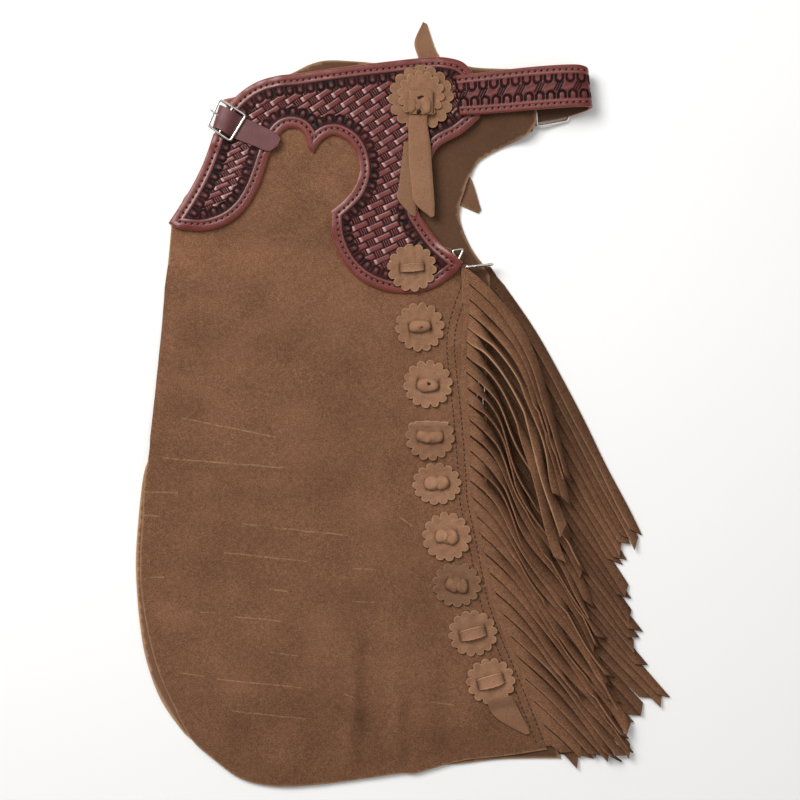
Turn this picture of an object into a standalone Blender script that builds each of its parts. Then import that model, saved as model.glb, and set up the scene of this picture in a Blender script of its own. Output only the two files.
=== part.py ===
"""Fringed batwing chaps in brown suede with tooled yokes, folded in half and laid flat.

The left leg lies on top, the right leg beneath it with its inside up. The pieces are laid down
in order, from the floor up, and each one rests on what already lies under it.
"""

import math
from collections import namedtuple

import bmesh
import bpy
import numpy as np
from mathutils import Vector
from mathutils.geometry import delaunay_2d_cdt

MM = 0.001

# The pieces are placed on a cutting board, in millimetres across from its left edge and down
# from its top edge. The board's middle is the origin, and the floor is at height zero.
BOARD_SIZE = 800
BOARD_MIDDLE_ACROSS = 402.92
BOARD_MIDDLE_DOWN = 404.11

# Thicknesses and clearances, in millimetres.
SUEDE = 1.8
TOOLED_LEATHER = 3.0
BELT_LEATHER = 4.0
BELT_TIP_LEATHER = 3.0
CHAPE_LEATHER = 2.4
KEEPER_LEATHER = 1.0
STRAP_LEATHER = 2.2
TIE_LEATHER = 1.6
GAP = 0.3
WIRE = 3.0

# The folded thigh flaps: each leg turns back under itself at its left edge.
FOLD_RETURN = 30.0
FAR_FOLD_SPRING = 0.9
NEAR_FOLD_SPRING = 1.2
FAR_RETURN_UNDER = SUEDE + FAR_FOLD_SPRING
NEAR_RETURN_UNDER = FAR_RETURN_UNDER + SUEDE + GAP
NEAR_FOLD_UNDER = NEAR_RETURN_UNDER + SUEDE + NEAR_FOLD_SPRING
FLAPS_TOP = NEAR_RETURN_UNDER + SUEDE

# The spacing of the points that shape each kind of sheet.
LEG_STEP = 17.0
FAR_LEG_SPACING = 23.0
NEAR_LEG_SPACING = 20.0
YOKE_STEP = 8.0
YOKE_SPACING = 15.0
DISC_SPACING = 14.0

# How firmly each round of settling lifts a sheet off what it touches. The last clears it.
SETTLING = (0.3,) * 12 + (1.0, 1.0)

# Columns: across, down, turn. A leg starts at the top of its fold and runs up round the yoke,
# down the fringe seam, along the hem and back up the cut edge to the foot of the fold.
LEG_NEAR_OUTLINE = (
    (171, 225, "corner"), (181, 207, "round"), (192, 189, "round"), (202, 168, "round"),
    (209, 149, "round"), (214, 135, "corner"), (219, 128, "corner"), (226, 108, "corner"),
    (239, 95, "round"), (251, 86, "round"), (264, 80, "round"), (300, 74, "round"),
    (340, 68, "round"), (380, 63, "round"), (420, 58.5, "round"), (441, 57.5, "round"),
    (459, 61, "round"), (468, 68, "round"), (475, 77, "corner"), (479, 117, "corner"),
    (459, 133, "round"), (438, 146, "round"), (430, 160, "round"), (423, 185, "round"),
    (417, 207, "round"), (422, 220, "round"), (440, 244, "round"), (461, 262.5, "corner"),
    (463.6, 281, "round"), (463.5, 318, "round"), (461, 346, "round"), (461, 376, "round"),
    (463, 400, "round"), (465, 440, "round"), (465, 485, "round"), (470, 510, "round"),
    (477, 540, "round"), (491, 595, "round"), (509, 645, "round"), (528, 700, "round"),
    (540, 728, "round"), (548, 751, "corner"), (508, 757, "round"), (464, 762, "round"),
    (433, 770, "round"), (415, 775, "round"), (400, 775, "round"), (366, 780, "round"),
    (320, 786, "round"), (275, 788, "round"), (240, 780, "round"), (212, 760, "round"),
    (191, 741, "round"), (175, 713, "round"), (154, 663, "round"), (141, 601, "round"),
    (139, 560, "round"), (142, 509, "round"), (144.5, 479, "round"), (148, 458, "corner"),
    (151, 444, "round"), (156, 398, "round"), (162, 340, "round"), (165.5, 300, "round"),
    (167.5, 266, "corner"), (168.8, 246, "round"),
)
LEG_NEAR_FOLD = ((148, 458), (167.5, 266))

LEG_FAR_OUTLINE = (
    (173, 226, "corner"), (178, 211, "round"), (183.5, 196.5, "round"), (192, 187, "round"),
    (202, 167, "round"), (210, 148, "round"), (215, 134, "corner"), (219.5, 128, "corner"),
    (226, 106, "corner"), (240, 95, "round"), (262, 83, "round"), (280, 76, "round"),
    (293, 71.5, "round"), (310, 63, "round"), (328, 59, "round"), (360, 60.5, "round"),
    (380, 62, "round"), (420, 60, "round"), (450, 61.5, "round"), (474, 66, "round"),
    (500, 67.5, "round"), (520, 69, "round"), (536, 73, "corner"), (536.5, 123, "corner"),
    (525, 136, "round"), (500, 148, "round"), (480, 160, "round"), (470, 175, "round"),
    (465, 190, "round"), (460, 206, "round"), (461, 222, "round"), (472, 248, "round"),
    (490, 272, "corner"), (492, 300, "round"), (488, 356, "round"), (488, 440, "round"),
    (488, 495, "round"), (498, 550, "round"), (510, 605, "round"), (526, 655, "round"),
    (543, 710, "round"), (554, 738, "round"), (562, 760, "corner"), (532, 760, "round"),
    (500, 761, "round"), (464, 765, "round"), (433, 768, "round"), (400, 772, "round"),
    (330, 781, "round"), (275, 784, "round"), (242, 776, "round"), (214, 760.5, "round"),
    (191, 741.5, "round"), (180, 731, "round"), (159, 700, "round"), (145, 661, "round"),
    (138, 620, "round"), (135, 580, "round"), (135, 548, "round"), (139, 500, "round"),
    (143, 472, "round"), (149, 456, "corner"), (153, 442, "round"), (158, 398, "round"),
    (164, 340, "round"), (167.5, 300, "round"), (169.7, 266, "corner"), (171.2, 246, "round"),
)
LEG_FAR_FOLD = ((149, 456), (169.7, 266))

# Columns: across, down, turn. The turned-back flaps inside the two folds, right of the returns.
FLAPS_OUTLINE = (
    (206, 266, "corner"), (203, 300, "round"), (198, 345, "round"), (192, 400, "round"),
    (187, 450, "corner"), (250, 456, "round"), (300, 436, "round"), (318, 380, "round"),
    (321, 305, "round"), (296, 264, "corner"),
)

# Columns: across, down, turn. Both yokes share this outline from the strap side of the top edge
# round the belt end, the scalloped lobe and the crescent. Only their front ends differ.
YOKE_BODY = (
    (238, 94, "round"), (250, 85, "round"), (263, 79, "round"), (280, 75, "round"),
    (300, 73, "round"), (340, 67, "round"), (380, 62, "round"), (420, 57.5, "round"),
    (441, 56.5, "round"), (459, 60, "round"), (468, 66, "round"), (476, 76, "corner"),
    (480, 118, "corner"), (461, 134, "round"), (440, 146, "round"), (431, 160, "round"),
    (424, 185, "round"), (418, 207, "round"), (423, 219.5, "round"), (441, 243.5, "round"),
    (463, 262.5, "corner"), (456, 272, "round"), (445, 281, "round"), (432, 288.5, "round"),
    (418, 292.5, "round"), (400, 293.2, "round"), (383, 290.5, "round"), (365, 283, "round"),
    (350, 271, "round"), (339, 255, "round"), (332, 236, "round"), (330, 211, "corner"),
    (345, 198, "round"), (354, 187, "round"), (358.5, 172, "round"), (356.5, 156, "round"),
    (349, 142.5, "round"), (335, 135, "round"), (323, 139.5, "round"), (313, 153, "corner"),
    (308, 148, "round"), (305, 137, "round"), (299, 129.5, "round"), (289, 128, "round"),
    (280, 134, "round"), (271, 151, "round"), (264, 172, "round"), (257, 190, "round"),
    (246, 208, "round"), (231, 221.5, "round"), (213, 229, "round"), (196, 231, "round"),
    (178, 228.5, "round"), (168, 223, "corner"), (180, 205, "round"), (191, 187, "round"),
    (201, 167, "round"), (208, 149, "round"),
)
YOKE_NEAR_FRONT = ((213, 134, "corner"), (218, 129, "corner"), (225, 107.5, "corner"))
YOKE_FAR_FRONT = ((215, 134, "corner"), (218.5, 130, "corner"), (225.8, 105.5, "corner"),
                  (222.5, 98, "corner"))

# Below the yoke the near leg bends as softly as its fringe.
YOKE_FOOT = 275.0
YOKE_FADE = 25.0

# Columns: the ends of each soft ridge (across and down twice), half its breadth, its height.
RIDGES = (
    (300, 420, 310, 560, 42, 1.6), (230, 560, 250, 690, 36, 1.4), (345, 600, 335, 740, 24, 1.8),
    (390, 640, 385, 750, 16, 1.6), (430, 640, 440, 730, 14, 1.2), (390, 330, 400, 470, 26, 1.0),
)

# Columns: down, across. Where the slits of each fringe start.
NEAR_ROOT_LINE = (
    (268, 468), (290, 469.5), (318, 469), (346, 466.5), (376, 466.5), (400, 468.5),
    (430, 470.3), (455, 470.5), (485, 470.5), (510, 475.5), (540, 482.5), (570, 489.5),
    (595, 496.5), (620, 505.5), (645, 514.5), (672, 523), (700, 533.5), (728, 545.5),
    (748, 552.5),
)
FAR_ROOT_LINE = (
    (274, 496.5), (300, 497.5), (356, 493.5), (440, 493.5), (495, 493.5), (550, 503.5),
    (605, 515.5), (655, 531.5), (710, 548.5), (738, 559.5), (757, 566.5),
)
FRINGE_STRIP = 4.7
SLIT = 1.0
FRINGE_LEATHER = 1.5
FRINGE_GAP = 0.6
FRINGE_SECTION = 22.0
FRINGE_SAMPLE = 2.0
FRINGE_TURN = 140.0
FRINGE_STEEPEST = 0.7
FRINGE_REACH = 22
FRINGE_SOFTENING = 8
FAR_FRINGE_UNDER = 0.5

# Columns: share of the way down the fringe, then the direction of its strands where they start
# and where they end, in degrees below level.
NEAR_FAN = ((0.0, 41, 74), (0.2, 41, 74), (0.23, 41, 64), (0.5, 41, 58.5), (0.8, 41, 51), (1.0, 41, 49))
FAR_FAN = ((0.0, 54, 63), (0.15, 53, 60), (0.3, 51, 57), (0.5, 48, 50.5), (0.62, 46, 46),
           (0.8, 46, 47), (1.0, 48, 52))

# The length of each strand, from the top.
NEAR_LENGTHS = (236, 214, 228, 204, 226, 238, 246, 232, 250, 240, 254, 246, 232, 252, 244, 248, 228,
                240, 226, 222, 204, 180, 158, 128, 98, 62, 30)
FAR_LENGTHS = (292, 286, 264, 252, 244, 238, 226, 240, 232, 236, 240, 230, 226, 232, 256, 240, 214,
               200, 184, 166, 150, 128, 106, 84, 60, 30)
# How far each tip is cut on a slant, over and over down the fringe.
TIP_SLANTS = (12, -9, 11, 8, -11, 10, 13, -8)
# The strands of each layer, from the one that is laid first.
NEAR_LAYERS = ((6, 27), (0, 6))
FAR_LAYERS = ((0, 26),)
Strand = namedtuple("Strand", "length start finish width slant")

# Columns: across, down, knot length across, knot width down, knot height, knot turn in degrees.
ROSETTES = (
    (412, 268, 24, 9, 3.6, 4),
    (420, 327, 21, 13, 6.5, 6),
    (428, 384, 21, 14, 6.5, -4),
    (430, 437, 24, 12, 6.0, 0),
    (437, 484, 22, 13, 6.5, 5),
    (447, 537, 20, 14, 7.0, 8),
    (457, 585, 20, 15, 7.5, -6),
    (473, 634, 26, 13, 5.0, 14),
    (491, 682, 26, 14, 4.6, 16),
)
ROSETTE_RADIUS = 25.0
ROSETTE_LOBES = 14
LOBE_DEPTH = 2.4
BIG_ROSETTE = (421, 98)
BIG_ROSETTE_RADIUS = 33.0
BIG_ROSETTE_LOBES = 16
TOP_ROSETTE = (421, 95)
TOP_ROSETTE_RADIUS = 24.0
WASHER_LENGTH = 26.0
WASHER_WIDTH = 25.0
WASHER_HEIGHT = 4.0

# Columns: the two edges of a tie or strap, each across and down, from its root to its end.
TIE_FRONT = (
    (410, 116, 428, 114), (408.5, 126, 427, 122), (408.5, 145, 430, 142),
    (409, 165, 431.5, 162), (411.5, 185, 433, 182), (414.5, 203, 434.5, 203),
    (430.5, 217.5, 434.5, 216),
)
TIE_BACK = (
    (404, 142, 418, 142), (401.5, 165, 417, 165), (399, 185, 416, 185),
    (397.5, 199, 416, 204), (410.5, 215, 416, 217),
)
TIE_FAR_TOP = ((418.3, 56.4, 440, 55.4), (414.5, 40, 435, 46), (423, 20, 427, 22))
TIE_FAR_BOTTOM = ((459, 172, 449, 199), (471, 177, 461.5, 205), (481.5, 209, 478.5, 212.5))
LEAF_TIE = (
    (487, 701, 511, 696), (490.5, 711, 517, 706), (498, 720, 523, 718), (513, 729, 529, 729),
    (525, 735.5, 530.5, 734.5),
)

# Columns: the two edges of the belt (across and down twice), height of its middle as a tenth
# part of the way from its start to its tip, thickness.
# It leaves the near yoke, folds round at the right and comes back beneath, through the rear
# buckle and the keeper.
BELT_STATIONS = (
    (456.0, 76.0, 460.0, 116.0, 0.0, BELT_LEATHER),
    (479.5, 73.5, 481.0, 115.0, 0.4, BELT_LEATHER),
    (505.0, 70.5, 506.0, 113.2, 1.0, BELT_LEATHER),
    (530.0, 68.0, 531.0, 111.2, 2.0, BELT_LEATHER),
    (553.0, 66.4, 554.0, 109.6, 3.1, BELT_LEATHER),
    (568.0, 65.8, 569.5, 108.6, 3.4, BELT_LEATHER),
    (578.0, 65.8, 580.5, 108.0, 2.6, BELT_LEATHER),
    (584.0, 67.0, 587.8, 107.6, 0.6, BELT_LEATHER),
    (586.2, 69.0, 590.6, 107.8, -2.4, BELT_LEATHER),
    (584.5, 70.6, 589.6, 109.0, -5.6, BELT_LEATHER),
    (578.5, 72.2, 584.0, 111.2, -7.4, 3.4),
    (566.0, 75.2, 568.8, 116.0, -7.9, BELT_TIP_LEATHER),
    (552.0, 78.8, 553.8, 119.0, -9.0, BELT_TIP_LEATHER),
    (537.0, 81.2, 538.0, 121.4, -10.0, BELT_TIP_LEATHER),
    (512.5, 85.2, 513.5, 124.0, -10.0, BELT_TIP_LEATHER),
)
BELT_TIP_LEVEL = 2.8

# The rear buckle lies tilted: its right bar is on the floor, its left bar above the belt's tip.
REAR_BUCKLE_LEFT = ((535.0, 73.5), (537.6, 125.8))
REAR_BUCKLE_RIGHT = ((565.5, 70.0), (569.4, 119.4))
REAR_BUCKLE_LEFT_HEIGHT = 6.2
REAR_BUCKLE_RIGHT_HEIGHT = 1.7
REAR_TONGUE_RADIUS = 1.0

# Columns: the chape's two edges (across and down twice), height of its middle.
CHAPE_STATIONS = (
    (481.6, 88.0, 482.4, 117.0, 1.8), (491.0, 87.0, 492.5, 121.5, 2.6),
    (502.0, 85.5, 503.5, 123.8, 5.6), (511.0, 84.5, 512.5, 123.0, 6.1),
    (533.2, 81.8, 535.0, 121.8, 6.2),
)
KEEPER_ACROSS = (527.8, 533.4)
KEEPER_DOWN = (76.0, 129.6)
KEEPER_INSIDE = (1.2, 7.8)

# Columns: the front strap's two edges (across and down twice), height above the near yoke's top.
STRAP_STATIONS = (
    (280.6, 139.0, 277.4, 146.6, 1.4), (277.5, 134.2, 267.9, 151.6, 1.4),
    (262.0, 125.8, 253.4, 146.2, 1.4), (250.0, 120.4, 241.4, 141.6, 1.4),
    (242.0, 116.4, 230.6, 137.1, 1.5), (237.4, 114.1, 227.6, 135.4, 5.2),
    (232.6, 111.6, 224.4, 133.4, 8.3), (226.8, 108.5, 219.2, 130.2, 8.2),
    (222.6, 106.3, 215.5, 128.4, 6.2), (220.9, 105.4, 214.0, 127.8, 2.4),
    (220.7, 105.3, 213.8, 127.7, -2.4), (221.8, 105.8, 214.9, 128.3, -6.6),
    (223.9, 106.8, 217.0, 129.3, -8.9),
)

# The front buckle lies level: two long bars beside the strap, a bar at each end and one in the
# middle, which the chape holds and the tongue turns on.
FRONT_BUCKLE_CORNERS = ((220.0, 100.0), (246.0, 116.0), (230.5, 141.5), (208.5, 126.0))
FRONT_BUCKLE_LEVEL = 4.4
CENTRE_BAR_RADIUS = 1.0
CHAPE_LAYER = 0.8
CHAPE_CLEARANCE = 0.25
CHAPE_END = 5.0
CHAPE_HALF_WIDTH = 9.0
TONGUE_RADIUS = 1.0
TONGUE_START = 3.5
TONGUE_LENGTH = 15.0
TONGUE_RISE = 4.1
TONGUE_HOLE = 1.7

# A spring snap, bent from wire: eye, spine and nose, with a gate that swings inwards.
SNAP_WIRE = 1.4
SNAP_EYE_RADIUS = 3.4
SNAP_EYE_CENTRE = 4.6
SNAP_HALF_WIDTH = 3.3
SNAP_NOSE_START = 26.0
SNAP_MOUTH_END = 23.4
SNAP_LUG_END = 9.4
GATE_RADIUS = 1.1
GATE_START = 10.3
GATE_PIVOT = 11.2
GATE_END = 23.1

# Columns: name, eye across and down, nose across and down, height of its middle above the far
# leg, "standing" on its edge or lying "flat", side of the gate.
SNAPS = (
    ("snap_upper", 463.6, 267.4, 494.0, 264.2, "standing", 1.0),
    ("snap_lower", 479.5, 407.5, 483.0, 376.0, "flat", 1.0),
)
# Columns: name, then its two edges (across and down twice) from its hidden root to the snap.
TABS = (
    ("tab_snap_upper", ((441, 262.5, 443, 272), (455, 263.8, 456, 273), (461.6, 264.6, 462.4, 272.6))),
    ("tab_snap_lower", ((452, 408, 454, 419), (466, 405.6, 468, 416), (475.6, 405.4, 477.0, 414))),
    ("tab_ring", ((437.0, 246.5, 430.0, 256.0), (447.5, 247.0, 441.5, 258.0),
                  (455.0, 251.8, 449.8, 259.4))),
)
RING_CORNERS = ((463.5, 248.6), (458.0, 261.0), (451.5, 250.6))
RING_WIRE = 2.0

Finish = namedtuple("Finish", "name colour roughness metallic")
SUEDE_BROWN = Finish("suede_brown", (0.155, 0.082, 0.046, 1.0), 0.95, 0.0)
SUEDE_INSIDE = Finish("suede_inside", (0.060, 0.033, 0.021, 1.0), 0.95, 0.0)
SUEDE_LIGHT = Finish("suede_light", (0.215, 0.120, 0.068, 1.0), 0.95, 0.0)
OXBLOOD = Finish("oxblood_leather", (0.115, 0.022, 0.020, 1.0), 0.35, 0.0)
LATIGO = Finish("latigo_leather", (0.160, 0.052, 0.055, 1.0), 0.5, 0.0)
NICKEL = Finish("nickel_plate", (0.75, 0.74, 0.71, 1.0), 0.2, 1.0)


def clear_scene():
    """Remove the objects that a new file holds."""
    for item in list(bpy.data.objects):
        bpy.data.objects.remove(item, do_unlink=True)


def board(across, down):
    """A place on the board, in millimetres from its middle."""
    return (across - BOARD_MIDDLE_ACROSS, BOARD_MIDDLE_DOWN - down)


def material_for(finish):
    """The finish's own material, made once."""
    found = bpy.data.materials.get(finish.name)
    if found:
        return found
    material = bpy.data.materials.new(finish.name)
    material.use_nodes = True
    shader = material.node_tree.nodes["Principled BSDF"]
    shader.inputs["Base Color"].default_value = finish.colour
    shader.inputs["Roughness"].default_value = finish.roughness
    shader.inputs["Metallic"].default_value = finish.metallic
    return material


def make_piece(name, points, faces, finish, pile=None):
    """Turn points in millimetres and faces into an object, and lay it on the pile."""
    mesh = bpy.data.meshes.new(name)
    mesh.from_pydata([Vector(point) * MM for point in points], [], faces)
    body = bmesh.new()
    body.from_mesh(mesh)
    bmesh.ops.recalc_face_normals(body, faces=body.faces)
    body.to_mesh(mesh)
    body.free()
    mesh.shade_smooth()
    mesh.set_sharp_from_angle(angle=math.radians(40))
    mesh.materials.append(material_for(finish))
    piece = bpy.data.objects.new(name, mesh)
    bpy.context.collection.objects.link(piece)
    if pile:
        pile.cover(np.array(points, dtype=float), faces)
    return piece


def curve_through(points, step, closed=False):
    """Points about one step apart on a smooth curve through the given ones."""
    points = np.array(points, dtype=float)
    if closed:
        fence = np.vstack([points[-1:], points, points[:2]])
    else:
        fence = np.vstack([2 * points[0] - points[1], points, 2 * points[-1] - points[-2]])
    curve = []
    for index in range(len(fence) - 3):
        before, start, end, after = fence[index:index + 4]
        count = max(1, round(float(np.linalg.norm(end - start)) / step))
        for part in range(count):
            t = part / count
            bend = 2 * before - 5 * start + 4 * end - after
            twist = -before + 3 * start - 3 * end + after
            curve.append(0.5 * (2 * start + (end - before) * t + bend * t ** 2 + twist * t ** 3))
    if not closed:
        curve.append(points[-1])
    return np.array(curve)


def outline_of(rows, step):
    """A closed outline through the rows, smooth but for its corners."""
    points = [board(across, down) for across, down, _ in rows]
    corners = [index for index, row in enumerate(rows) if row[2] == "corner"]
    if not corners:
        return curve_through(points, step, closed=True)
    outline = []
    for first, last in zip(corners, corners[1:] + [corners[0] + len(rows)]):
        run = [points[index % len(rows)] for index in range(first, last + 1)]
        outline.extend(curve_through(run, step)[:-1])
    return np.array(outline)


def inside(outline, places):
    """Which places lie inside the outline."""
    ends = np.roll(outline, -1, axis=0)
    result = np.zeros(len(places), dtype=bool)
    for (x1, y1), (x2, y2) in zip(outline, ends):
        if y1 == y2:
            continue
        spans = (places[:, 1] < y1) != (places[:, 1] < y2)
        crossing = x1 + (places[:, 1] - y1) * (x2 - x1) / (y2 - y1)
        result ^= spans & (places[:, 0] < crossing)
    return result


def fill_outline(outline, spacing):
    """Triangles that fill an outline, with inner points in staggered rows."""
    low = outline.min(axis=0)
    high = outline.max(axis=0)
    row_height = spacing * math.sqrt(3) / 2
    rows = []
    for index, y in enumerate(np.arange(low[1] + row_height / 2, high[1], row_height)):
        shift = spacing / 2 * (index % 2)
        rows.extend((x, y) for x in np.arange(low[0] + shift, high[0], spacing))
    places = np.array(rows) if rows else np.zeros((0, 2))
    if len(places):
        places = places[inside(outline, places)]
    if len(places):
        away = np.linalg.norm(places[:, None, :] - outline[None, :, :], axis=2).min(axis=1)
        places = places[away > 0.6 * spacing]
    points = np.vstack([outline, places])
    rim = list(range(len(outline)))
    area = 0.5 * np.sum(outline[:, 0] * np.roll(outline[:, 1], -1)
                        - np.roll(outline[:, 0], -1) * outline[:, 1])
    loop = rim if area > 0 else rim[::-1]
    found = delaunay_2d_cdt([Vector(point) for point in points], [], [loop], 1, 1e-5)
    return points, [list(face) for face in found[2]]


class Pile:
    """The height of all that is laid down so far, in square cells one millimetre wide."""

    def __init__(self):
        self.height = np.zeros((BOARD_SIZE, BOARD_SIZE))
        self.middle = BOARD_SIZE / 2

    def cover(self, points, faces):
        """Raise the pile to the upper side of a solid."""
        for face in faces:
            for index in range(1, len(face) - 1):
                corners = points[[face[0], face[index], face[index + 1]]]
                self.cover_triangle(corners)

    def cover_triangle(self, corners):
        """Raise the cells whose middles lie under one triangle."""
        flat = corners[:, :2] + self.middle
        low = np.floor(flat.min(axis=0)).astype(int)
        high = np.ceil(flat.max(axis=0)).astype(int) + 1
        (x1, y1), (x2, y2), (x3, y3) = flat
        area = (y2 - y3) * (x1 - x3) + (x3 - x2) * (y1 - y3)
        if abs(area) < 1e-6:
            return
        across, up = np.meshgrid(np.arange(low[0], high[0]), np.arange(low[1], high[1]))
        first = ((y2 - y3) * (across - x3) + (x3 - x2) * (up - y3)) / area
        second = ((y3 - y1) * (across - x3) + (x1 - x3) * (up - y3)) / area
        third = 1 - first - second
        edge = -1e-6
        covered = (first >= edge) & (second >= edge) & (third >= edge)
        level = first * corners[0, 2] + second * corners[1, 2] + third * corners[2, 2]
        block = self.height[low[1]:high[1], low[0]:high[0]]
        np.maximum(block, np.where(covered, level, 0), out=block)

    def reserve(self, outline, level):
        """Keep the space under a level free inside an outline."""
        cells = np.indices(self.height.shape)
        places = np.stack([cells[1].ravel(), cells[0].ravel()], axis=1) - self.middle
        held = inside(outline, places).reshape(self.height.shape)
        self.height[held] = np.maximum(self.height[held], level)

    def widened(self, reach):
        """The highest level within reach of each cell."""
        result = self.height
        for axis in (0, 1):
            result = np.max([np.roll(result, shift, axis) for shift in range(-reach, reach + 1)], axis=0)
        return result

    def draped(self, reach, softening):
        """The underside of soft leather that bends gently over all that lies within reach."""
        result = self.widened(reach + 2 * softening)
        shifts = range(-softening, softening + 1)
        for axis in (0, 1, 0, 1):
            result = np.mean([np.roll(result, shift, axis) for shift in shifts], axis=0)
        return np.where(result > 0.05, result + GAP, 0.0)

    def cells_under(self, places, triangles):
        """The cells under each triangle, the triangle's corners and the cells' shares of them."""
        found = []
        for triangle in triangles:
            (x1, y1), (x2, y2), (x3, y3) = places[triangle] + self.middle
            area = (y2 - y3) * (x1 - x3) + (x3 - x2) * (y1 - y3)
            columns = np.arange(math.floor(min(x1, x2, x3)), math.ceil(max(x1, x2, x3)) + 1)
            rows = np.arange(math.floor(min(y1, y2, y3)), math.ceil(max(y1, y2, y3)) + 1)
            across, up = (grid.ravel() for grid in np.meshgrid(columns, rows))
            first = ((y2 - y3) * (across - x3) + (x3 - x2) * (up - y3)) / area
            second = ((y3 - y1) * (across - x3) + (x1 - x3) * (up - y3)) / area
            shares = np.stack([first, second, 1 - first - second], axis=1)
            held = shares.min(axis=1) > -0.02
            corners = np.tile(triangle, (int(held.sum()), 1))
            found.append((up[held], across[held], corners, shares[held]))
        return [np.concatenate(parts) for parts in zip(*found)]

    def settled(self, places, triangles, lowest=0.0):
        """The underside of a sheet at its corners, so that no place of it sinks into the pile."""
        ground = self.widened(1)
        ground = np.where(ground > 0.05, ground + GAP, 0.0)
        levels = np.maximum(self.read(ground, places), lowest)
        rows, columns, corners, shares = self.cells_under(places, triangles)
        wanted = ground[rows, columns]
        gain = 1 / (shares ** 2).sum(axis=1)
        for pace in SETTLING:
            lack = np.maximum(wanted - (levels[corners] * shares).sum(axis=1), 0)
            rise = levels[corners] + pace * (lack * gain)[:, None] * shares
            np.maximum.at(levels, corners.ravel(), rise.ravel())
        return levels

    def read(self, field, places):
        """Values of a field between its cells."""
        spots = np.asarray(places, dtype=float) + self.middle
        low = np.floor(spots).astype(int)
        part = spots - low
        x, y = low[:, 0], low[:, 1]
        bottom = field[y, x] * (1 - part[:, 0]) + field[y, x + 1] * part[:, 0]
        top = field[y + 1, x] * (1 - part[:, 0]) + field[y + 1, x + 1] * part[:, 0]
        return bottom * (1 - part[:, 1]) + top * part[:, 1]


def sheet_solid(outline, places, triangles, under, thickness, fold=None):
    """Points and faces of a sheet; fold is (run of rim indices, level of the return, side)."""
    count = len(places)
    points = [(x, y, z) for (x, y), z in zip(places, under)]
    points += [(x, y, z + thickness) for (x, y), z in zip(places, under)]
    faces = [[a, c, b] for a, b, c in triangles]
    faces += [[a + count, b + count, c + count] for a, b, c in triangles]
    folded = set()
    if fold:
        folded = set(fold[0][:-1])
        add_fold(points, faces, outline, count, fold)
    rim = len(outline)
    for index in range(rim):
        after = (index + 1) % rim
        if index not in folded:
            faces.append([index, after, after + count, index + count])
    return points, faces


def add_fold(points, faces, outline, count, fold):
    """Turn the rim's run over in a half round, and lead it back as a return."""
    run, return_under, side = fold
    turns = [math.pi * step / 4 for step in range(5)]
    outer_columns = []
    inner_columns = []
    for order, index in enumerate(run):
        before = outline[run[max(order - 1, 0)]]
        after = outline[run[min(order + 1, len(run) - 1)]]
        along = (after - before) / np.linalg.norm(after - before)
        inward = np.array([along[1], -along[0]])
        width = FOLD_RETURN * (0.4 + 0.6 * math.sin(math.pi * order / (len(run) - 1)))
        place = outline[index]
        low, high = points[index][2], points[index + count][2]
        start = {"outer": high, "inner": low} if side == "under" else {"outer": low, "inner": high}
        end = {"outer": return_under, "inner": return_under + SUEDE}
        if side == "over":
            end = {"outer": return_under + SUEDE, "inner": return_under}
        first = {"outer": index + count, "inner": index}
        if side == "over":
            first = {"outer": index, "inner": index + count}
        for name, columns in (("outer", outer_columns), ("inner", inner_columns)):
            middle = (start[name] + end[name]) / 2
            radius = (start[name] - end[name]) / 2
            column = [first[name]]
            for turn in turns[1:]:
                spot = place - inward * abs(radius) * math.sin(turn)
                points.append((spot[0], spot[1], middle + radius * math.cos(turn)))
                column.append(len(points) - 1)
            for share in (0.5, 1.0):
                spot = place + inward * width * share
                points.append((spot[0], spot[1], end[name]))
                column.append(len(points) - 1)
            columns.append(column)
    last = len(outer_columns[0]) - 1
    for columns in (outer_columns, inner_columns):
        for left, right in zip(columns, columns[1:]):
            for row in range(last):
                faces.append([left[row], right[row], right[row + 1], left[row + 1]])
    for outer, inner in ((outer_columns[0], inner_columns[0]), (outer_columns[-1], inner_columns[-1])):
        for row in range(last):
            faces.append([outer[row], outer[row + 1], inner[row + 1], inner[row]])
    for order in range(len(run) - 1):
        faces.append([outer_columns[order][last], outer_columns[order + 1][last],
                      inner_columns[order + 1][last], inner_columns[order][last]])


def rim_run(outline, ends):
    """The rim indices from one named end of a fold to the other."""
    first, last = (int(np.argmin(np.linalg.norm(outline - np.array(board(*end)), axis=1)))
                   for end in ends)
    if last <= first:
        last += len(outline)
    return [index % len(outline) for index in range(first, last + 1)]


def reserve_return(pile, outline, run, level):
    """Keep the space of a fold's return free."""
    edge = [outline[index] for index in run]
    inner = []
    for order, place in enumerate(edge):
        along = edge[min(order + 1, len(edge) - 1)] - edge[max(order - 1, 0)]
        inward = np.array([along[1], -along[0]]) / np.linalg.norm(along)
        inner.append(place + inward * (FOLD_RETURN + 1))
    pile.reserve(np.array(edge + inner[::-1]), level)


def loft(rings, closed=False):
    """Points and faces of a body drawn through rings of equal count."""
    size = len(rings[0])
    points = [tuple(point) for ring in rings for point in ring]
    faces = []
    spans = len(rings) if closed else len(rings) - 1
    for ring in range(spans):
        start = ring * size
        after = (ring + 1) % len(rings) * size
        for corner in range(size):
            beside = (corner + 1) % size
            faces.append([start + corner, start + beside, after + beside, after + corner])
    if not closed:
        faces.append(list(range(size))[::-1])
        faces.append([(len(rings) - 1) * size + corner for corner in range(size)])
    return points, faces


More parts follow.
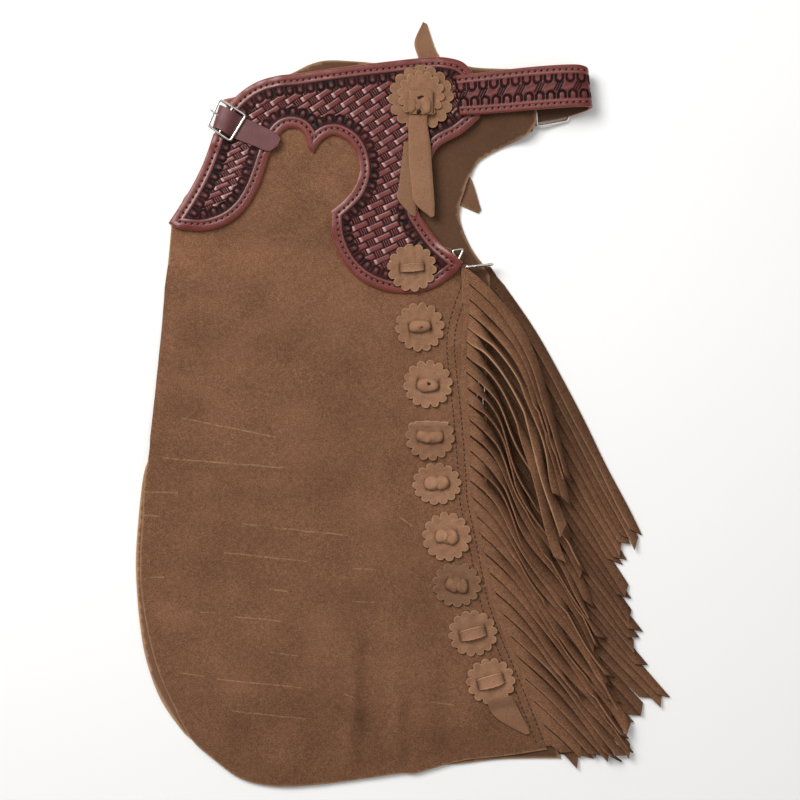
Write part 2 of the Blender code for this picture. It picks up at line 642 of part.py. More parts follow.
def wire(path, radius, sides=6, closed=False):
    """Points and faces of a round wire along a path in space."""
    path = [Vector(place) for place in path]
    count = len(path)
    rings = []
    side_way = None
    for index, place in enumerate(path):
        before = path[index - 1] if closed or index else place
        after = path[(index + 1) % count] if closed or index < count - 1 else place
        along = (after - before).normalized()
        if side_way is None:
            side_way = along.cross(Vector((0.1, 0.2, 1.0))).normalized()
        side_way = (side_way - along * side_way.dot(along)).normalized()
        other = along.cross(side_way)
        ring = []
        for side in range(sides):
            angle = math.tau * (side + 0.5) / sides
            ring.append(place + side_way * radius * math.cos(angle) + other * radius * math.sin(angle))
        rings.append(ring)
    return loft(rings, closed)


def ribbon(edges, thicknesses):
    """Points and faces of a strap between two edges in space, thickened about its middle."""
    middles = [(first + second) / 2 for first, second in edges]
    rings = []
    for index, (first, second) in enumerate(edges):
        along = middles[min(index + 1, len(edges) - 1)] - middles[max(index - 1, 0)]
        normal = along.cross(second - first).normalized() * thicknesses[index] / 2
        rings.append([first + normal, second + normal, second - normal, first - normal])
    return loft(rings)


def level_ribbon(stations, heights, thickness):
    """A ribbon whose stations are flat on the board, at the given middle heights."""
    edges = []
    for (a1, d1, a2, d2), height in zip(stations, heights):
        edges.append((Vector((*board(a1, d1), height)), Vector((*board(a2, d2), height))))
    return ribbon(edges, [thickness] * len(edges))


def laid_ribbon(name, stations, pile, finish, floor=0.0, reach=13):
    """A tie that rests on the pile."""
    widened = pile.widened(reach)
    heights = []
    for a1, d1, a2, d2 in stations:
        spots = [board(a1 + (a2 - a1) * t, d1 + (d2 - d1) * t) for t in (0.0, 0.25, 0.5, 0.75, 1.0)]
        level = max(float(pile.read(widened, spots).max()), floor)
        heights.append(level + GAP + TIE_LEATHER / 2)
    points, faces = level_ribbon(stations, heights, TIE_LEATHER)
    return make_piece(name, points, faces, finish, pile)


def flat_sheet(name, rows, level, thickness, finish, pile=None):
    """A flat piece of leather at one level."""
    outline = outline_of(rows, 12.0)
    places, triangles = fill_outline(outline, 60.0)
    under = np.full(len(places), level)
    points, faces = sheet_solid(outline, places, triangles, under, thickness)
    return make_piece(name, points, faces, finish, pile)


def lay_sheet(name, outline, spacing, thickness, finish, pile, fold=None, lowest_at=None):
    """A sheet of leather that settles on the pile."""
    places, triangles = fill_outline(outline, spacing)
    lowest = lowest_at(places) if lowest_at else 0.0
    under = pile.settled(places, triangles, lowest)
    points, faces = sheet_solid(outline, places, triangles, under, thickness, fold)
    return make_piece(name, points, faces, finish, pile)


def scalloped(centre, radius, lobes):
    """The outline of a rosette, three points to a lobe."""
    middle = np.array(board(*centre))
    outline = []
    for step in range(lobes * 3):
        angle = math.tau * step / (lobes * 3)
        depth = LOBE_DEPTH if step % 3 == 0 else 0.0
        outline.append(middle + (radius - depth) * np.array([math.cos(angle), math.sin(angle)]))
    return np.array(outline)


def turned_place(middle, direction, along, beside):
    """The place that lies so far along a direction and beside it."""
    cosine, sine = math.cos(direction), math.sin(direction)
    return (middle[0] + along * cosine - beside * sine, middle[1] + along * sine + beside * cosine)


def lay_knot(name, row, pile):
    """A low lump of knotted thong on a rosette."""
    across, down, length, width, height, turn = row
    middle = np.array(board(across, down))
    direction = math.radians(turn)
    spots = []
    for step in range(16):
        angle = math.tau * step / 8
        share = 0.25 if step < 8 else 0.5
        spots.append(turned_place(middle, direction, math.cos(angle) * length * share,
                                  math.sin(angle) * width * share))
    level = float(pile.read(pile.widened(1), spots).max()) + GAP
    rings = []
    for share, rise in ((0.8, 0.0), (1.0, 0.4), (0.78, 0.85), (0.4, 1.0)):
        ring = []
        for step in range(8):
            angle = math.tau * step / 8
            place = turned_place(middle, direction, math.cos(angle) * length / 2 * share,
                                 math.sin(angle) * width / 2 * share)
            ring.append((*place, level + height * rise))
        rings.append(ring)
    points, faces = loft(rings)
    return make_piece(name, points, faces, SUEDE_LIGHT, pile)


def fringe_roots(line, fan, count):
    """The two corners of each strand on the root line, so that all are cut equally wide."""
    downs = np.linspace(line[0][0], line[-1][0], 200)
    acrosses = np.interp(downs, [row[0] for row in line], [row[1] for row in line])
    share = (downs - downs[0]) / (downs[-1] - downs[0])
    angles = np.radians(np.interp(share, [row[0] for row in fan], [row[1] for row in fan]))
    breadths = np.diff(downs) * np.cos(angles[1:]) - np.diff(acrosses) * np.sin(angles[1:])
    measure = np.concatenate([[0], np.cumsum(breadths)])
    pitch = measure[-1] / count
    roots = []
    for index in range(count):
        ends = (index * pitch + SLIT / 2, (index + 1) * pitch - SLIT / 2)
        roots.append([np.array(board(np.interp(end, measure, acrosses), np.interp(end, measure, downs)))
                      for end in ends])
    return roots, pitch - SLIT


def fringe_strands(fan, lengths, width):
    """The strands of a fringe, from the top."""
    strands = []
    for index, length in enumerate(lengths):
        share = index / (len(lengths) - 1)
        start, finish = (float(np.interp(share, [row[0] for row in fan], [row[column] for row in fan]))
                         for column in (1, 2))
        strands.append(Strand(length, start, finish, width, TIP_SLANTS[index % len(TIP_SLANTS)]))
    return strands


def strand_path(strand, start):
    """Evenly spaced places and headings along a strand, which turns once on its way."""
    count = max(2, round(strand.length / FRINGE_SAMPLE))
    along = np.linspace(0, strand.length, count + 1)
    share = np.clip(along / FRINGE_TURN, 0, 1)
    turned = share * share * (3 - 2 * share)
    angles = np.radians(strand.start + (strand.finish - strand.start) * turned)
    headings = np.stack([np.cos(angles), -np.sin(angles)], axis=1)
    steps = headings[:-1] * (strand.length / count)
    places = np.vstack([start, start + np.cumsum(steps, axis=0)])
    return places, headings


def strand_rises(paths, strands, layer):
    """How far each strand's lower edge is lifted to lie on the strands below it."""
    rises = {}
    for order in reversed(range(*layer)):
        places = paths[order][0]
        width = strands[order].width
        rise = np.zeros(len(places))
        for lower in range(order + 1, min(order + 5, layer[1])):
            away = np.linalg.norm(places[:, None] - paths[lower][0][None], axis=2)
            nearest = away.argmin(axis=1)
            apart = np.maximum(away.min(axis=1), FRINGE_GAP)
            slope = rises[lower][nearest] / width
            layer_height = (FRINGE_LEATHER + FRINGE_GAP) * np.sqrt(1 + slope ** 2)
            at_left = (width - apart) * slope + layer_height
            at_right = layer_height * width / apart
            rise = np.maximum(rise, np.where(apart < width, np.maximum(at_left, at_right), 0))
        rises[order] = np.minimum(rise, FRINGE_STEEPEST * width)
    return rises


def strand_rings(strand, path, rise, field, pile, floor):
    """The sections of one strand after its root, the last one slanted."""
    places, headings = path
    count = len(places) - 1
    parts = max(2, round(strand.length / FRINGE_SECTION))
    rings = []
    for part in range(1, parts + 1):
        index = round(part * count / parts)
        near = max(1, round(count / parts))
        lift = float(rise[max(index - near, 0):index + near + 1].max())
        half_width = math.sqrt(strand.width ** 2 - lift ** 2) / 2
        upper = np.array([-headings[index][1], headings[index][0]]) * half_width
        slant = headings[index] * strand.slant / 2 if part == parts else np.zeros(2)
        top = places[index] + upper + slant - abs(slant) * np.sign(headings[index])
        bottom = places[index] - upper - slant - abs(slant) * np.sign(headings[index])
        low, high = np.maximum(pile.read(field, [bottom, top]), floor)
        low += lift
        rings.append([(*top, high), (*bottom, low), (*bottom, low + FRINGE_LEATHER),
                      (*top, high + FRINGE_LEATHER)])
    return rings


def lay_fringe(name, line, fan, lengths, layers, field, pile, finish, floor):
    """A strip along the cloth's edge, and the strands cut from it, layer by layer."""
    roots, width = fringe_roots(line, fan, len(lengths))
    strands = fringe_strands(fan, lengths, width)
    paths = [strand_path(strand, (root[0] + root[1]) / 2) for strand, root in zip(strands, roots)]
    corners = [place for root in roots for place in root]
    backs = [place - np.array([FRINGE_STRIP, 0.0]) for place in corners]
    levels = np.maximum(pile.read(field, corners), floor)
    points = []
    for places in (backs, corners):
        points += [(*place, level) for place, level in zip(places, levels)]
        points += [(*place, level + FRINGE_LEATHER) for place, level in zip(places, levels)]
    faces = strip_faces(len(corners))
    front_low, front_high = 2 * len(corners), 3 * len(corners)
    for layer in layers:
        first_face = len(faces)
        rises = strand_rises(paths, strands, layer)
        for order in range(*layer):
            first, second = 2 * order, 2 * order + 1
            ring = [front_low + first, front_low + second, front_high + second, front_high + first]
            sections = strand_rings(strands[order], paths[order], rises[order], field, pile, floor)
            for section in sections:
                start = len(points)
                points += [tuple(point) for point in section]
                fresh = [start, start + 1, start + 2, start + 3]
                for corner in range(4):
                    beside = (corner + 1) % 4
                    faces.append([ring[corner], ring[beside], fresh[beside], fresh[corner]])
                ring = fresh
            faces.append(ring)
        pile.cover(np.array(points, dtype=float), faces[first_face:])
        field = pile.draped(FRINGE_REACH, FRINGE_SOFTENING)
    return make_piece(name, points, faces, finish, pile)


def strip_faces(count):
    """Faces of the strip between the cloth and the strands, open where each strand starts."""
    back_low, back_high, front_low, front_high = 0, count, 2 * count, 3 * count
    faces = []
    for index in range(count - 1):
        after = index + 1
        faces.append([back_low + index, back_low + after, front_low + after, front_low + index])
        faces.append([back_high + index, front_high + index, front_high + after, back_high + after])
        faces.append([back_low + index, back_high + index, back_high + after, back_low + after])
        if index % 2:
            faces.append([front_low + index, front_low + after, front_high + after, front_high + index])
    for index in (0, count - 1):
        faces.append([back_low + index, front_low + index, front_high + index, back_high + index])
    return faces


def lay_far_side(pile):
    """The far yoke on the floor and the far leg over it, inside up, with its tie ends."""
    rows = YOKE_FAR_FRONT + YOKE_BODY
    flat_sheet("yoke_far", rows, 0.0, TOOLED_LEATHER, OXBLOOD, pile)
    laid_ribbon("tie_far_top", TIE_FAR_TOP, pile, SUEDE_LIGHT, reach=0)
    laid_ribbon("tie_far_bottom", TIE_FAR_BOTTOM, pile, SUEDE_LIGHT, reach=0)
    lay_belt_tip(pile)
    outline = outline_of(LEG_FAR_OUTLINE, LEG_STEP)
    run = rim_run(outline, LEG_FAR_FOLD)
    lay_sheet("leg_far", outline, FAR_LEG_SPACING, SUEDE, SUEDE_INSIDE, pile,
              (run, FAR_RETURN_UNDER, "over"))
    floor = np.zeros((BOARD_SIZE, BOARD_SIZE))
    lay_fringe("fringe_far", FAR_ROOT_LINE, FAR_FAN, FAR_LENGTHS, FAR_LAYERS, floor, pile, SUEDE_BROWN,
               FAR_FRINGE_UNDER)


def belt_edges(stations, middle):
    """Edges in space of the stations, from the given height of the belt's middle."""
    edges = []
    for a1, d1, a2, d2, rise in stations:
        edges.append((Vector((*board(a1, d1), middle + rise)), Vector((*board(a2, d2), middle + rise))))
    return edges


def lay_belt_tip(pile):
    """The chape, the keeper, the rear buckle and the space of the belt's tip, under the far leg."""
    edges = belt_edges(CHAPE_STATIONS, 0.0)
    points, faces = ribbon(edges, [CHAPE_LEATHER] * len(edges))
    make_piece("belt_chape", points, faces, OXBLOOD, pile)
    make_keeper(pile)
    make_rear_buckle()
    tip = [(*row[:4], row[4]) for row in BELT_STATIONS[-3:]]
    edges = belt_edges(tip, BELT_TIP_LEVEL + 10)
    points, faces = ribbon(edges, [BELT_TIP_LEATHER] * len(edges))
    pile.cover(np.array([tuple(point) for point in points]), faces)


def make_keeper(pile):
    """A band of leather round the chape and the belt's tip."""
    low, high = KEEPER_INSIDE
    rings = []
    near, far = KEEPER_DOWN
    inner = [(near, low), (far, low), (far, high), (near, high)]
    margin = KEEPER_LEATHER
    outer = [(near - margin, low - margin), (far + margin, low - margin),
             (far + margin, high + margin), (near - margin, high + margin)]
    left, right = KEEPER_ACROSS
    for corner in range(4):
        ring = []
        for across, (down, height) in ((left, outer[corner]), (right, outer[corner]),
                                       (right, inner[corner]), (left, inner[corner])):
            ring.append((*board(across, down), height))
        rings.append(ring)
    points, faces = loft(rings, closed=True)
    make_piece("belt_keeper", points, faces, OXBLOOD, pile)


def make_rear_buckle():
    """The rear buckle's frame and its tongue, which lies inside the frame."""
    corners = []
    for ends, height in ((REAR_BUCKLE_LEFT, REAR_BUCKLE_LEFT_HEIGHT),
                         (REAR_BUCKLE_RIGHT[::-1], REAR_BUCKLE_RIGHT_HEIGHT)):
        corners += [Vector((*board(*end), height)) for end in ends]
    points, faces = wire(rounded_loop(corners, 3.0), WIRE / 2, 6, closed=True)
    make_piece("buckle_rear_frame", points, faces, NICKEL)
    left = (corners[0] + corners[1]) / 2
    right = (corners[2] + corners[3]) / 2
    along = (right - left).normalized()
    start = left + along * (WIRE / 2 + GAP + REAR_TONGUE_RADIUS)
    path = [start + Vector((0, 0, 0.9)), start + along * 7 + Vector((0, 0, 1.6))]
    points, faces = wire(path, REAR_TONGUE_RADIUS, 6)
    make_piece("buckle_rear_tongue", points, faces, NICKEL)


def rounded_loop(corners, radius):
    """A closed loop through the corners, each rounded by three points."""
    path = []
    for index, corner in enumerate(corners):
        before = (corners[index - 1] - corner).normalized() * radius
        after = (corners[(index + 1) % len(corners)] - corner).normalized() * radius
        path += [corner + before, corner + (before + after) * 0.3, corner + after]
    return path


def lay_fasteners(pile):
    """The snaps, their tabs and the ring between the two legs."""
    for name, stations in TABS:
        laid_ribbon(name, stations, pile, SUEDE_INSIDE, reach=4)
    for row in SNAPS:
        make_snap(row, pile, covers=row[5] == "flat")
    level = float(pile.read(pile.widened(6), [board(457, 254)])[0]) + GAP + RING_WIRE / 2
    loop = rounded_loop([Vector((*board(*corner), level)) for corner in RING_CORNERS], 3.0)
    points, faces = wire(loop, RING_WIRE / 2, 6, closed=True)
    make_piece("ring_upper", points, faces, NICKEL, pile)


def snap_frame(row, pile):
    """Where a snap's own directions point: along it, across it and its start."""
    _, eye_across, eye_down, nose_across, nose_down, pose, gate_side = row
    eye = np.array(board(eye_across, eye_down))
    nose = np.array(board(nose_across, nose_down))
    spots = [eye + (nose - eye) * t for t in (0.0, 0.25, 0.5, 0.75, 1.0)]
    level = float(pile.read(pile.widened(5), spots).max()) + GAP
    along = Vector((*(nose - eye), 0)).normalized()
    if pose == "standing":
        across = Vector((0, 0, gate_side))
        height = level + SNAP_HALF_WIDTH + SNAP_WIRE
    else:
        across = Vector((0, 0, 1)).cross(along) * gate_side
        height = level + SNAP_WIRE
    return Vector((*eye, height)), along, across


def make_snap(row, pile, covers):
    """A snap hook bent from wire, and its gate on its own pivot."""
    origin, along, across = snap_frame(row, pile)

    def at(u, v):
        return origin + along * u + across * v

    path = [at(SNAP_LUG_END, SNAP_HALF_WIDTH)]
    for step in range(9):
        angle = math.radians(60 + 30 * step)
        path.append(at(SNAP_EYE_CENTRE + SNAP_EYE_RADIUS * math.cos(angle),
                       SNAP_EYE_RADIUS * math.sin(angle)))
    path.append(at(SNAP_LUG_END, -SNAP_HALF_WIDTH))
    path.append(at((SNAP_LUG_END + SNAP_NOSE_START) / 2, -SNAP_HALF_WIDTH))
    for step in range(5):
        angle = math.radians(-90 + 45 * step)
        path.append(at(SNAP_NOSE_START + SNAP_HALF_WIDTH * math.cos(angle),
                       SNAP_HALF_WIDTH * math.sin(angle)))
    path.append(at(SNAP_MOUTH_END, SNAP_HALF_WIDTH))
    points, faces = wire(path, SNAP_WIRE, 6)
    make_piece(row[0] + "_hook", points, faces, NICKEL, pile if covers else None)
    gate = [at(GATE_START, SNAP_HALF_WIDTH), at(GATE_END, SNAP_HALF_WIDTH)]
    points, faces = wire(gate, GATE_RADIUS, 6)
    pivot = at(GATE_PIVOT, SNAP_HALF_WIDTH)
    moved = [Vector(point) - pivot for point in points]
    piece = make_piece(row[0] + "_gate", moved, faces, NICKEL)
    piece.location = pivot * MM
    if covers:
        pile.cover(np.array([tuple(point) for point in points]), faces)


def relief_at(places):
    """The height of the soft ridges of the upper leg."""
    height = np.zeros(len(places))
    for a1, d1, a2, d2, spread, rise in RIDGES:
        start = np.array(board(a1, d1))
        along = np.array(board(a2, d2)) - start
        share = np.clip((places - start) @ along / (along @ along), 0, 1)
        away = np.linalg.norm(places - start - share[:, None] * along, axis=1)
        height += rise * np.exp(-(away / spread) ** 2)
    return height


def lay_near_leg(pile):
    """The near leg over the flaps, with its own fold, and its fringe."""
    flat_sheet("thigh_flaps", FLAPS_OUTLINE, SUEDE + GAP, FLAPS_TOP - SUEDE - GAP, SUEDE_INSIDE, pile)
    outline = outline_of(LEG_NEAR_OUTLINE, LEG_STEP)
    run = rim_run(outline, LEG_NEAR_FOLD)
    reserve_return(pile, outline, run, NEAR_FOLD_UNDER - GAP)
    field = pile.draped(FRINGE_REACH, FRINGE_SOFTENING)

    def lowest_at(places):
        down = BOARD_MIDDLE_DOWN - places[:, 1]
        below_yoke = np.clip((down - YOKE_FOOT) / YOKE_FADE, 0, 1)
        return pile.read(field, places) * below_yoke + relief_at(places)

    lay_sheet("leg_near", outline, NEAR_LEG_SPACING, SUEDE, SUEDE_BROWN, pile,
              (run, NEAR_RETURN_UNDER, "under"), lowest_at)
    lay_fringe("fringe_near", NEAR_ROOT_LINE, NEAR_FAN, NEAR_LENGTHS, NEAR_LAYERS, field, pile,
               SUEDE_BROWN, 0.0)


def lay_yoke(pile):
    """The near yoke, and the belt that leaves it and comes back under the far leg."""
    outline = outline_of(YOKE_NEAR_FRONT + YOKE_BODY, YOKE_STEP)
    lay_sheet("yoke_near", outline, YOKE_SPACING, TOOLED_LEATHER, OXBLOOD, pile)
    spots = [board(across, down) for across in (458, 468, 478) for down in (80, 96, 112)]
    level = float(pile.read(pile.widened(5), spots).max()) + GAP + BELT_LEATHER / 2
    rows = [(*row[:4], level + row[4] * (level - BELT_TIP_LEVEL) / 10) for row in BELT_STATIONS]
    edges = belt_edges(rows, 0.0)
    points, faces = ribbon(edges, [row[5] for row in BELT_STATIONS])
    make_piece("belt", points, faces, OXBLOOD, pile)


def lay_rosettes(pile):
    """The nine small rosettes down the leg and the double one on the yoke, with their ties."""
    for number, row in enumerate(ROSETTES, 1):
        outline = scalloped(row[:2], ROSETTE_RADIUS, ROSETTE_LOBES)
        lay_sheet(f"rosette_{number}", outline, DISC_SPACING, SUEDE, SUEDE_LIGHT, pile)
        lay_knot(f"rosette_{number}_knot", row, pile)
    outline = scalloped(BIG_ROSETTE, BIG_ROSETTE_RADIUS, BIG_ROSETTE_LOBES)
    lay_sheet("rosette_big_under", outline, DISC_SPACING, SUEDE, SUEDE_LIGHT, pile)
    outline = scalloped(TOP_ROSETTE, TOP_ROSETTE_RADIUS, ROSETTE_LOBES)
    lay_sheet("rosette_big_top", outline, DISC_SPACING, SUEDE, SUEDE_LIGHT, pile)
    laid_ribbon("tie_back", TIE_BACK, pile, SUEDE_LIGHT)
    laid_ribbon("tie_front", TIE_FRONT, pile, SUEDE_LIGHT)
    washer = (421, 103, WASHER_LENGTH, WASHER_WIDTH, WASHER_HEIGHT, 90)
    lay_knot("rosette_big_knot", washer, pile)
    laid_ribbon("tie_leaf", LEAF_TIE, pile, SUEDE_LIGHT)


def combine(target, tool, operation):
    """Join the tool to the target or cut it away, then discard the tool."""
    modifier = target.modifiers.new("combine", "BOOLEAN")
    modifier.operation = operation
    modifier.object = tool
    modifier.solver = "EXACT"
    graph = bpy.context.evaluated_depsgraph_get()
    mesh = bpy.data.meshes.new_from_object(target.evaluated_get(graph))
    target.modifiers.clear()
    target.data = mesh
    bpy.data.objects.remove(tool, do_unlink=True)


def lay_front_strap(pile):
    """The strap that joins the two yokes in front, and the buckle that it runs through."""
    spots = [board(across, down) for across in range(228, 280, 6) for down in range(118, 152, 6)]
    yoke_top = float(pile.read(pile.widened(3), spots).max())
    edges = belt_edges(STRAP_STATIONS, yoke_top)
    points, faces = ribbon(edges, [STRAP_LEATHER] * len(edges))
    strap = make_piece("front_strap", points, faces, LATIGO)
    level = yoke_top + FRONT_BUCKLE_LEVEL
    corners = [Vector((*board(*corner), level)) for corner in FRONT_BUCKLE_CORNERS]
    points, faces = wire(rounded_loop(corners, 2.5), WIRE / 2, 6, closed=True)
    frame = make_piece("buckle_front_frame", points, faces, NICKEL)
    upper = corners[0].lerp(corners[1], 0.5)
    lower = corners[3].lerp(corners[2], 0.5)
    points, faces = wire([upper, lower], CENTRE_BAR_RADIUS, 6)
    combine(frame, make_piece("centre_bar", points, faces, NICKEL), "UNION")
    middle = (upper + lower) / 2
    left = ((corners[0] + corners[3]) / 2 - middle).normalized()
    make_front_chape(middle, left, (lower - upper).normalized(), yoke_top)
    start = middle + left * TONGUE_START
    end = start + left * TONGUE_LENGTH + Vector((0, 0, TONGUE_RISE))
    points, faces = wire([start, end], TONGUE_RADIUS, 6)
    make_piece("buckle_front_tongue", points, faces, NICKEL)
    points, faces = wire([start.lerp(end, 0.05), start.lerp(end, 0.62)], TONGUE_HOLE, 8)
    combine(strap, make_piece("hole", points, faces, LATIGO), "DIFFERENCE")


def make_front_chape(middle, left, down_bar, yoke_top):
    """A thin loop of leather from the yoke round the buckle's middle bar."""
    inner = CENTRE_BAR_RADIUS + CHAPE_CLEARANCE
    base = yoke_top + GAP + CHAPE_LAYER / 2 - middle.z
    radius = inner + CHAPE_LAYER / 2
    profile = [(-CHAPE_END, base), (-radius - 1.5, base), (0.0, -radius), (radius * 0.87, -radius / 2),
               (radius * 0.87, radius / 2), (0.0, radius), (-radius, radius * 0.8), (-CHAPE_END, -0.4)]
    edges = []
    for along, height in profile:
        place = middle + left * along + Vector((0, 0, height))
        edges.append((place - down_bar * CHAPE_HALF_WIDTH, place + down_bar * CHAPE_HALF_WIDTH))
    points, faces = ribbon(edges, [CHAPE_LAYER] * len(edges))
    make_piece("buckle_front_chape", points, faces, OXBLOOD)


def main():
    clear_scene()
    pile = Pile()
    lay_far_side(pile)
    lay_fasteners(pile)
    lay_near_leg(pile)
    lay_yoke(pile)
    lay_rosettes(pile)
    lay_front_strap(pile)


main()
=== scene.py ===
"""Dresses the fringed chaps: suede legs and fringe, tooled yokes and belt, rosettes and buckles."""

import math
from collections import namedtuple

import bmesh
import bpy
import numpy as np
from bpy.props import FloatProperty, FloatVectorProperty, IntProperty, PointerProperty
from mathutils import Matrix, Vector
from mathutils.geometry import delaunay_2d_cdt
from mathutils.kdtree import KDTree


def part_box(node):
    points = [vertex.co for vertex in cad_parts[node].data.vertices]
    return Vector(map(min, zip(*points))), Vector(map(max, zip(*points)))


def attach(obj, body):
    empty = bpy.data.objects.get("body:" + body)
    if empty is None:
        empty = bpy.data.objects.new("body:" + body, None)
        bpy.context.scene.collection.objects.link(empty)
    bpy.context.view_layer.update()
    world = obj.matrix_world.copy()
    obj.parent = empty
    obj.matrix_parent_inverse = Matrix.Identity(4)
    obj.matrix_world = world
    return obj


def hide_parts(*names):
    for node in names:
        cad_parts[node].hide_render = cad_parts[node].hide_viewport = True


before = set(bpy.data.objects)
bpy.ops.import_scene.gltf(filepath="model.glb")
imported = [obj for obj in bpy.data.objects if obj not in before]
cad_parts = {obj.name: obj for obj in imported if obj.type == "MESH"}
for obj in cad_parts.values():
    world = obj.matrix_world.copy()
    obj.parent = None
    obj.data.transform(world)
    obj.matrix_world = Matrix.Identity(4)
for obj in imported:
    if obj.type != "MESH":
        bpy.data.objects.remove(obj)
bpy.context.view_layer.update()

bl_info = {
    "name": "Fringed Chaps",
    "version": (1, 0, 0),
    "blender": (4, 5, 0),
    "location": "3D View > Sidebar > Chaps",
    "description": "Builds a folded pair of fringed suede chaps with tooled yokes",
    "category": "Add Mesh",
}

MM = 0.001
BODY = "chaps"

# Places are in millimetres across and down a cutting board, as the pieces were laid out. The
# board's middle is the origin, and the floor is at height zero.
BOARD_SIZE = 800
BOARD_MIDDLE_ACROSS = 402.92
BOARD_MIDDLE_DOWN = 404.11
CAMERA_ACROSS = 400.0
CAMERA_DOWN = 400.0
CAMERA_LEVEL = 12.0
SENSOR_WIDTH = 36.0

# Thicknesses and clearances, in millimetres.
SUEDE = 1.8
TOOLED_LEATHER = 3.0
TIE_LEATHER = 1.6
STRAP_LEATHER = 2.2
CHAPE_LEATHER = 2.4
CHAPE_LAYER = 0.8
KEEPER_LEATHER = 1.0
BELT_TIP_LEATHER = 3.0
BELT_LEATHER = 4.0
GAP = 0.3
WIRE = 3.0
FOLD_RETURN = 30.0
FAR_RETURN_UNDER = 2.7
NEAR_RETURN_UNDER = 4.8
RIM_INSET = 0.4
FOLD_EASE = 8

# Columns: across, down, "corner" where the outline turns sharply. A leg starts at the top of its
# fold and runs up round the yoke, down the fringe seam, along the hem and back up the cut edge to
# the foot of the fold.
LEG_NEAR_OUTLINE = (
    (171, 225, "corner"), (181, 207), (192, 189), (202, 168), (209, 149), (214, 135, "corner"),
    (219, 128, "corner"), (226, 108, "corner"), (239, 95), (251, 86), (264, 80), (300, 74), (340, 68),
    (380, 63), (420, 58.5), (441, 57.5), (459, 61), (468, 68), (475, 77, "corner"),
    (479, 117, "corner"), (459, 133), (438, 146), (430, 160), (423, 185), (417, 207), (422, 220),
    (440, 244), (461, 262.5, "corner"), (463.6, 281), (463.5, 318), (461, 346), (461, 376), (463, 400),
    (465, 440), (465, 485), (470, 510), (477, 540), (491, 595), (509, 645), (528, 700), (540, 728),
    (548, 751, "corner"), (508, 757), (464, 762), (433, 770), (415, 775), (400, 775), (366, 780),
    (320, 786), (275, 788), (240, 780), (212, 760), (191, 741), (175, 713), (154, 663), (141, 601),
    (139, 560), (142, 509), (144.5, 479), (148, 458, "corner"), (151, 444), (156, 398), (162, 340),
    (165.5, 300), (167.5, 266, "corner"), (168.8, 246),
)
LEG_NEAR_FOLD = ((148, 458), (167.5, 266))

LEG_FAR_OUTLINE = (
    (173, 226, "corner"), (178, 211), (183.5, 196.5), (192, 187), (202, 167), (210, 148),
    (215, 134, "corner"), (219.5, 128, "corner"), (226, 106, "corner"), (240, 95), (262, 83), (280, 76),
    (293, 71.5), (310, 63), (328, 59), (360, 60.5), (380, 62), (420, 60), (450, 61.5), (474, 66),
    (500, 67.5), (520, 69), (536, 73, "corner"), (536.5, 123, "corner"), (525, 136), (500, 148),
    (480, 160), (470, 175), (465, 190), (460, 206), (461, 222), (472, 248), (490, 272, "corner"),
    (492, 300), (488, 356), (488, 440), (488, 495), (498, 550), (510, 605), (526, 655), (543, 710),
    (554, 738), (562, 760, "corner"), (532, 760), (500, 761), (464, 765), (433, 768), (400, 772),
    (330, 781), (275, 784), (242, 776), (214, 760.5), (191, 741.5), (180, 731), (159, 700), (145, 661),
    (138, 620), (135, 580), (135, 548), (139, 500), (143, 472), (149, 456, "corner"), (153, 442),
    (158, 398), (164, 340), (167.5, 300), (169.7, 266, "corner"), (171.2, 246),
)
LEG_FAR_FOLD = ((149, 456), (169.7, 266))

# The same columns. The turned-back flaps inside the two folds, right of the returns.
FLAPS_OUTLINE = (
    (206, 266, "corner"), (203, 300), (198, 345), (192, 400), (187, 450, "corner"), (250, 456),
    (300, 436), (318, 380), (321, 305), (296, 264, "corner"),
)

FLAPS_MIDDLE = (258, 360)
# Columns: level of a flap's layer, its size as a share of the outline.
FLAP_LAYERS = ((2.15, 1.0), (3.65, 0.975), (5.15, 0.99))
FLAP_LEATHER = 1.3

# Columns: across, down, "corner" where the outline turns sharply. Both yokes share this outline
# from the strap side of the top edge round the belt end, the scalloped lobe and the crescent. Only
# their front ends differ.
YOKE_BODY = (
    (238, 94), (250, 85), (263, 79), (280, 75), (300, 73), (340, 67), (380, 62), (420, 57.5),
    (441, 56.5), (459, 60), (468, 66), (476, 76, "corner"), (480, 118, "corner"), (461, 134),
    (440, 146), (431, 160), (424, 185), (418, 207), (423, 219.5), (441, 243.5), (463, 262.5, "corner"),
    (456, 272), (445, 281), (432, 288.5), (418, 292.5), (400, 293.2), (383, 290.5), (365, 283),
    (350, 271), (339, 255), (332, 236), (330, 211, "corner"), (345, 198), (354, 187), (358.5, 172),
    (356.5, 156), (349, 142.5), (335, 135), (323, 139.5), (313, 153, "corner"), (308, 148), (305, 137),
    (299, 129.5), (289, 128), (280, 134), (271, 151), (264, 172), (257, 190), (246, 208), (231, 221.5),
    (213, 229), (196, 231), (178, 228.5), (168, 223, "corner"), (180, 205), (191, 187), (201, 167),
    (208, 149),
)
YOKE_NEAR_FRONT = ((213, 134, "corner"), (218, 129, "corner"), (225, 107.5, "corner"))
YOKE_FAR_FRONT = ((215, 134, "corner"), (218.5, 130, "corner"), (225.8, 105.5, "corner"),
                  (222.5, 98, "corner"))

# Columns: down, across. Where the slits of each fringe start.
NEAR_ROOT_LINE = (
    (268, 468), (290, 469.5), (318, 469), (346, 466.5), (376, 466.5), (400, 468.5),
    (430, 470.3), (455, 470.5), (485, 470.5), (510, 475.5), (540, 482.5), (570, 489.5),
    (595, 496.5), (620, 505.5), (645, 514.5), (672, 523), (700, 533.5), (728, 545.5),
    (748, 552.5),
)
FAR_ROOT_LINE = (
    (274, 496.5), (300, 497.5), (356, 493.5), (440, 493.5), (495, 493.5), (550, 503.5),
    (605, 515.5), (655, 531.5), (710, 548.5), (738, 559.5), (757, 566.5),
)
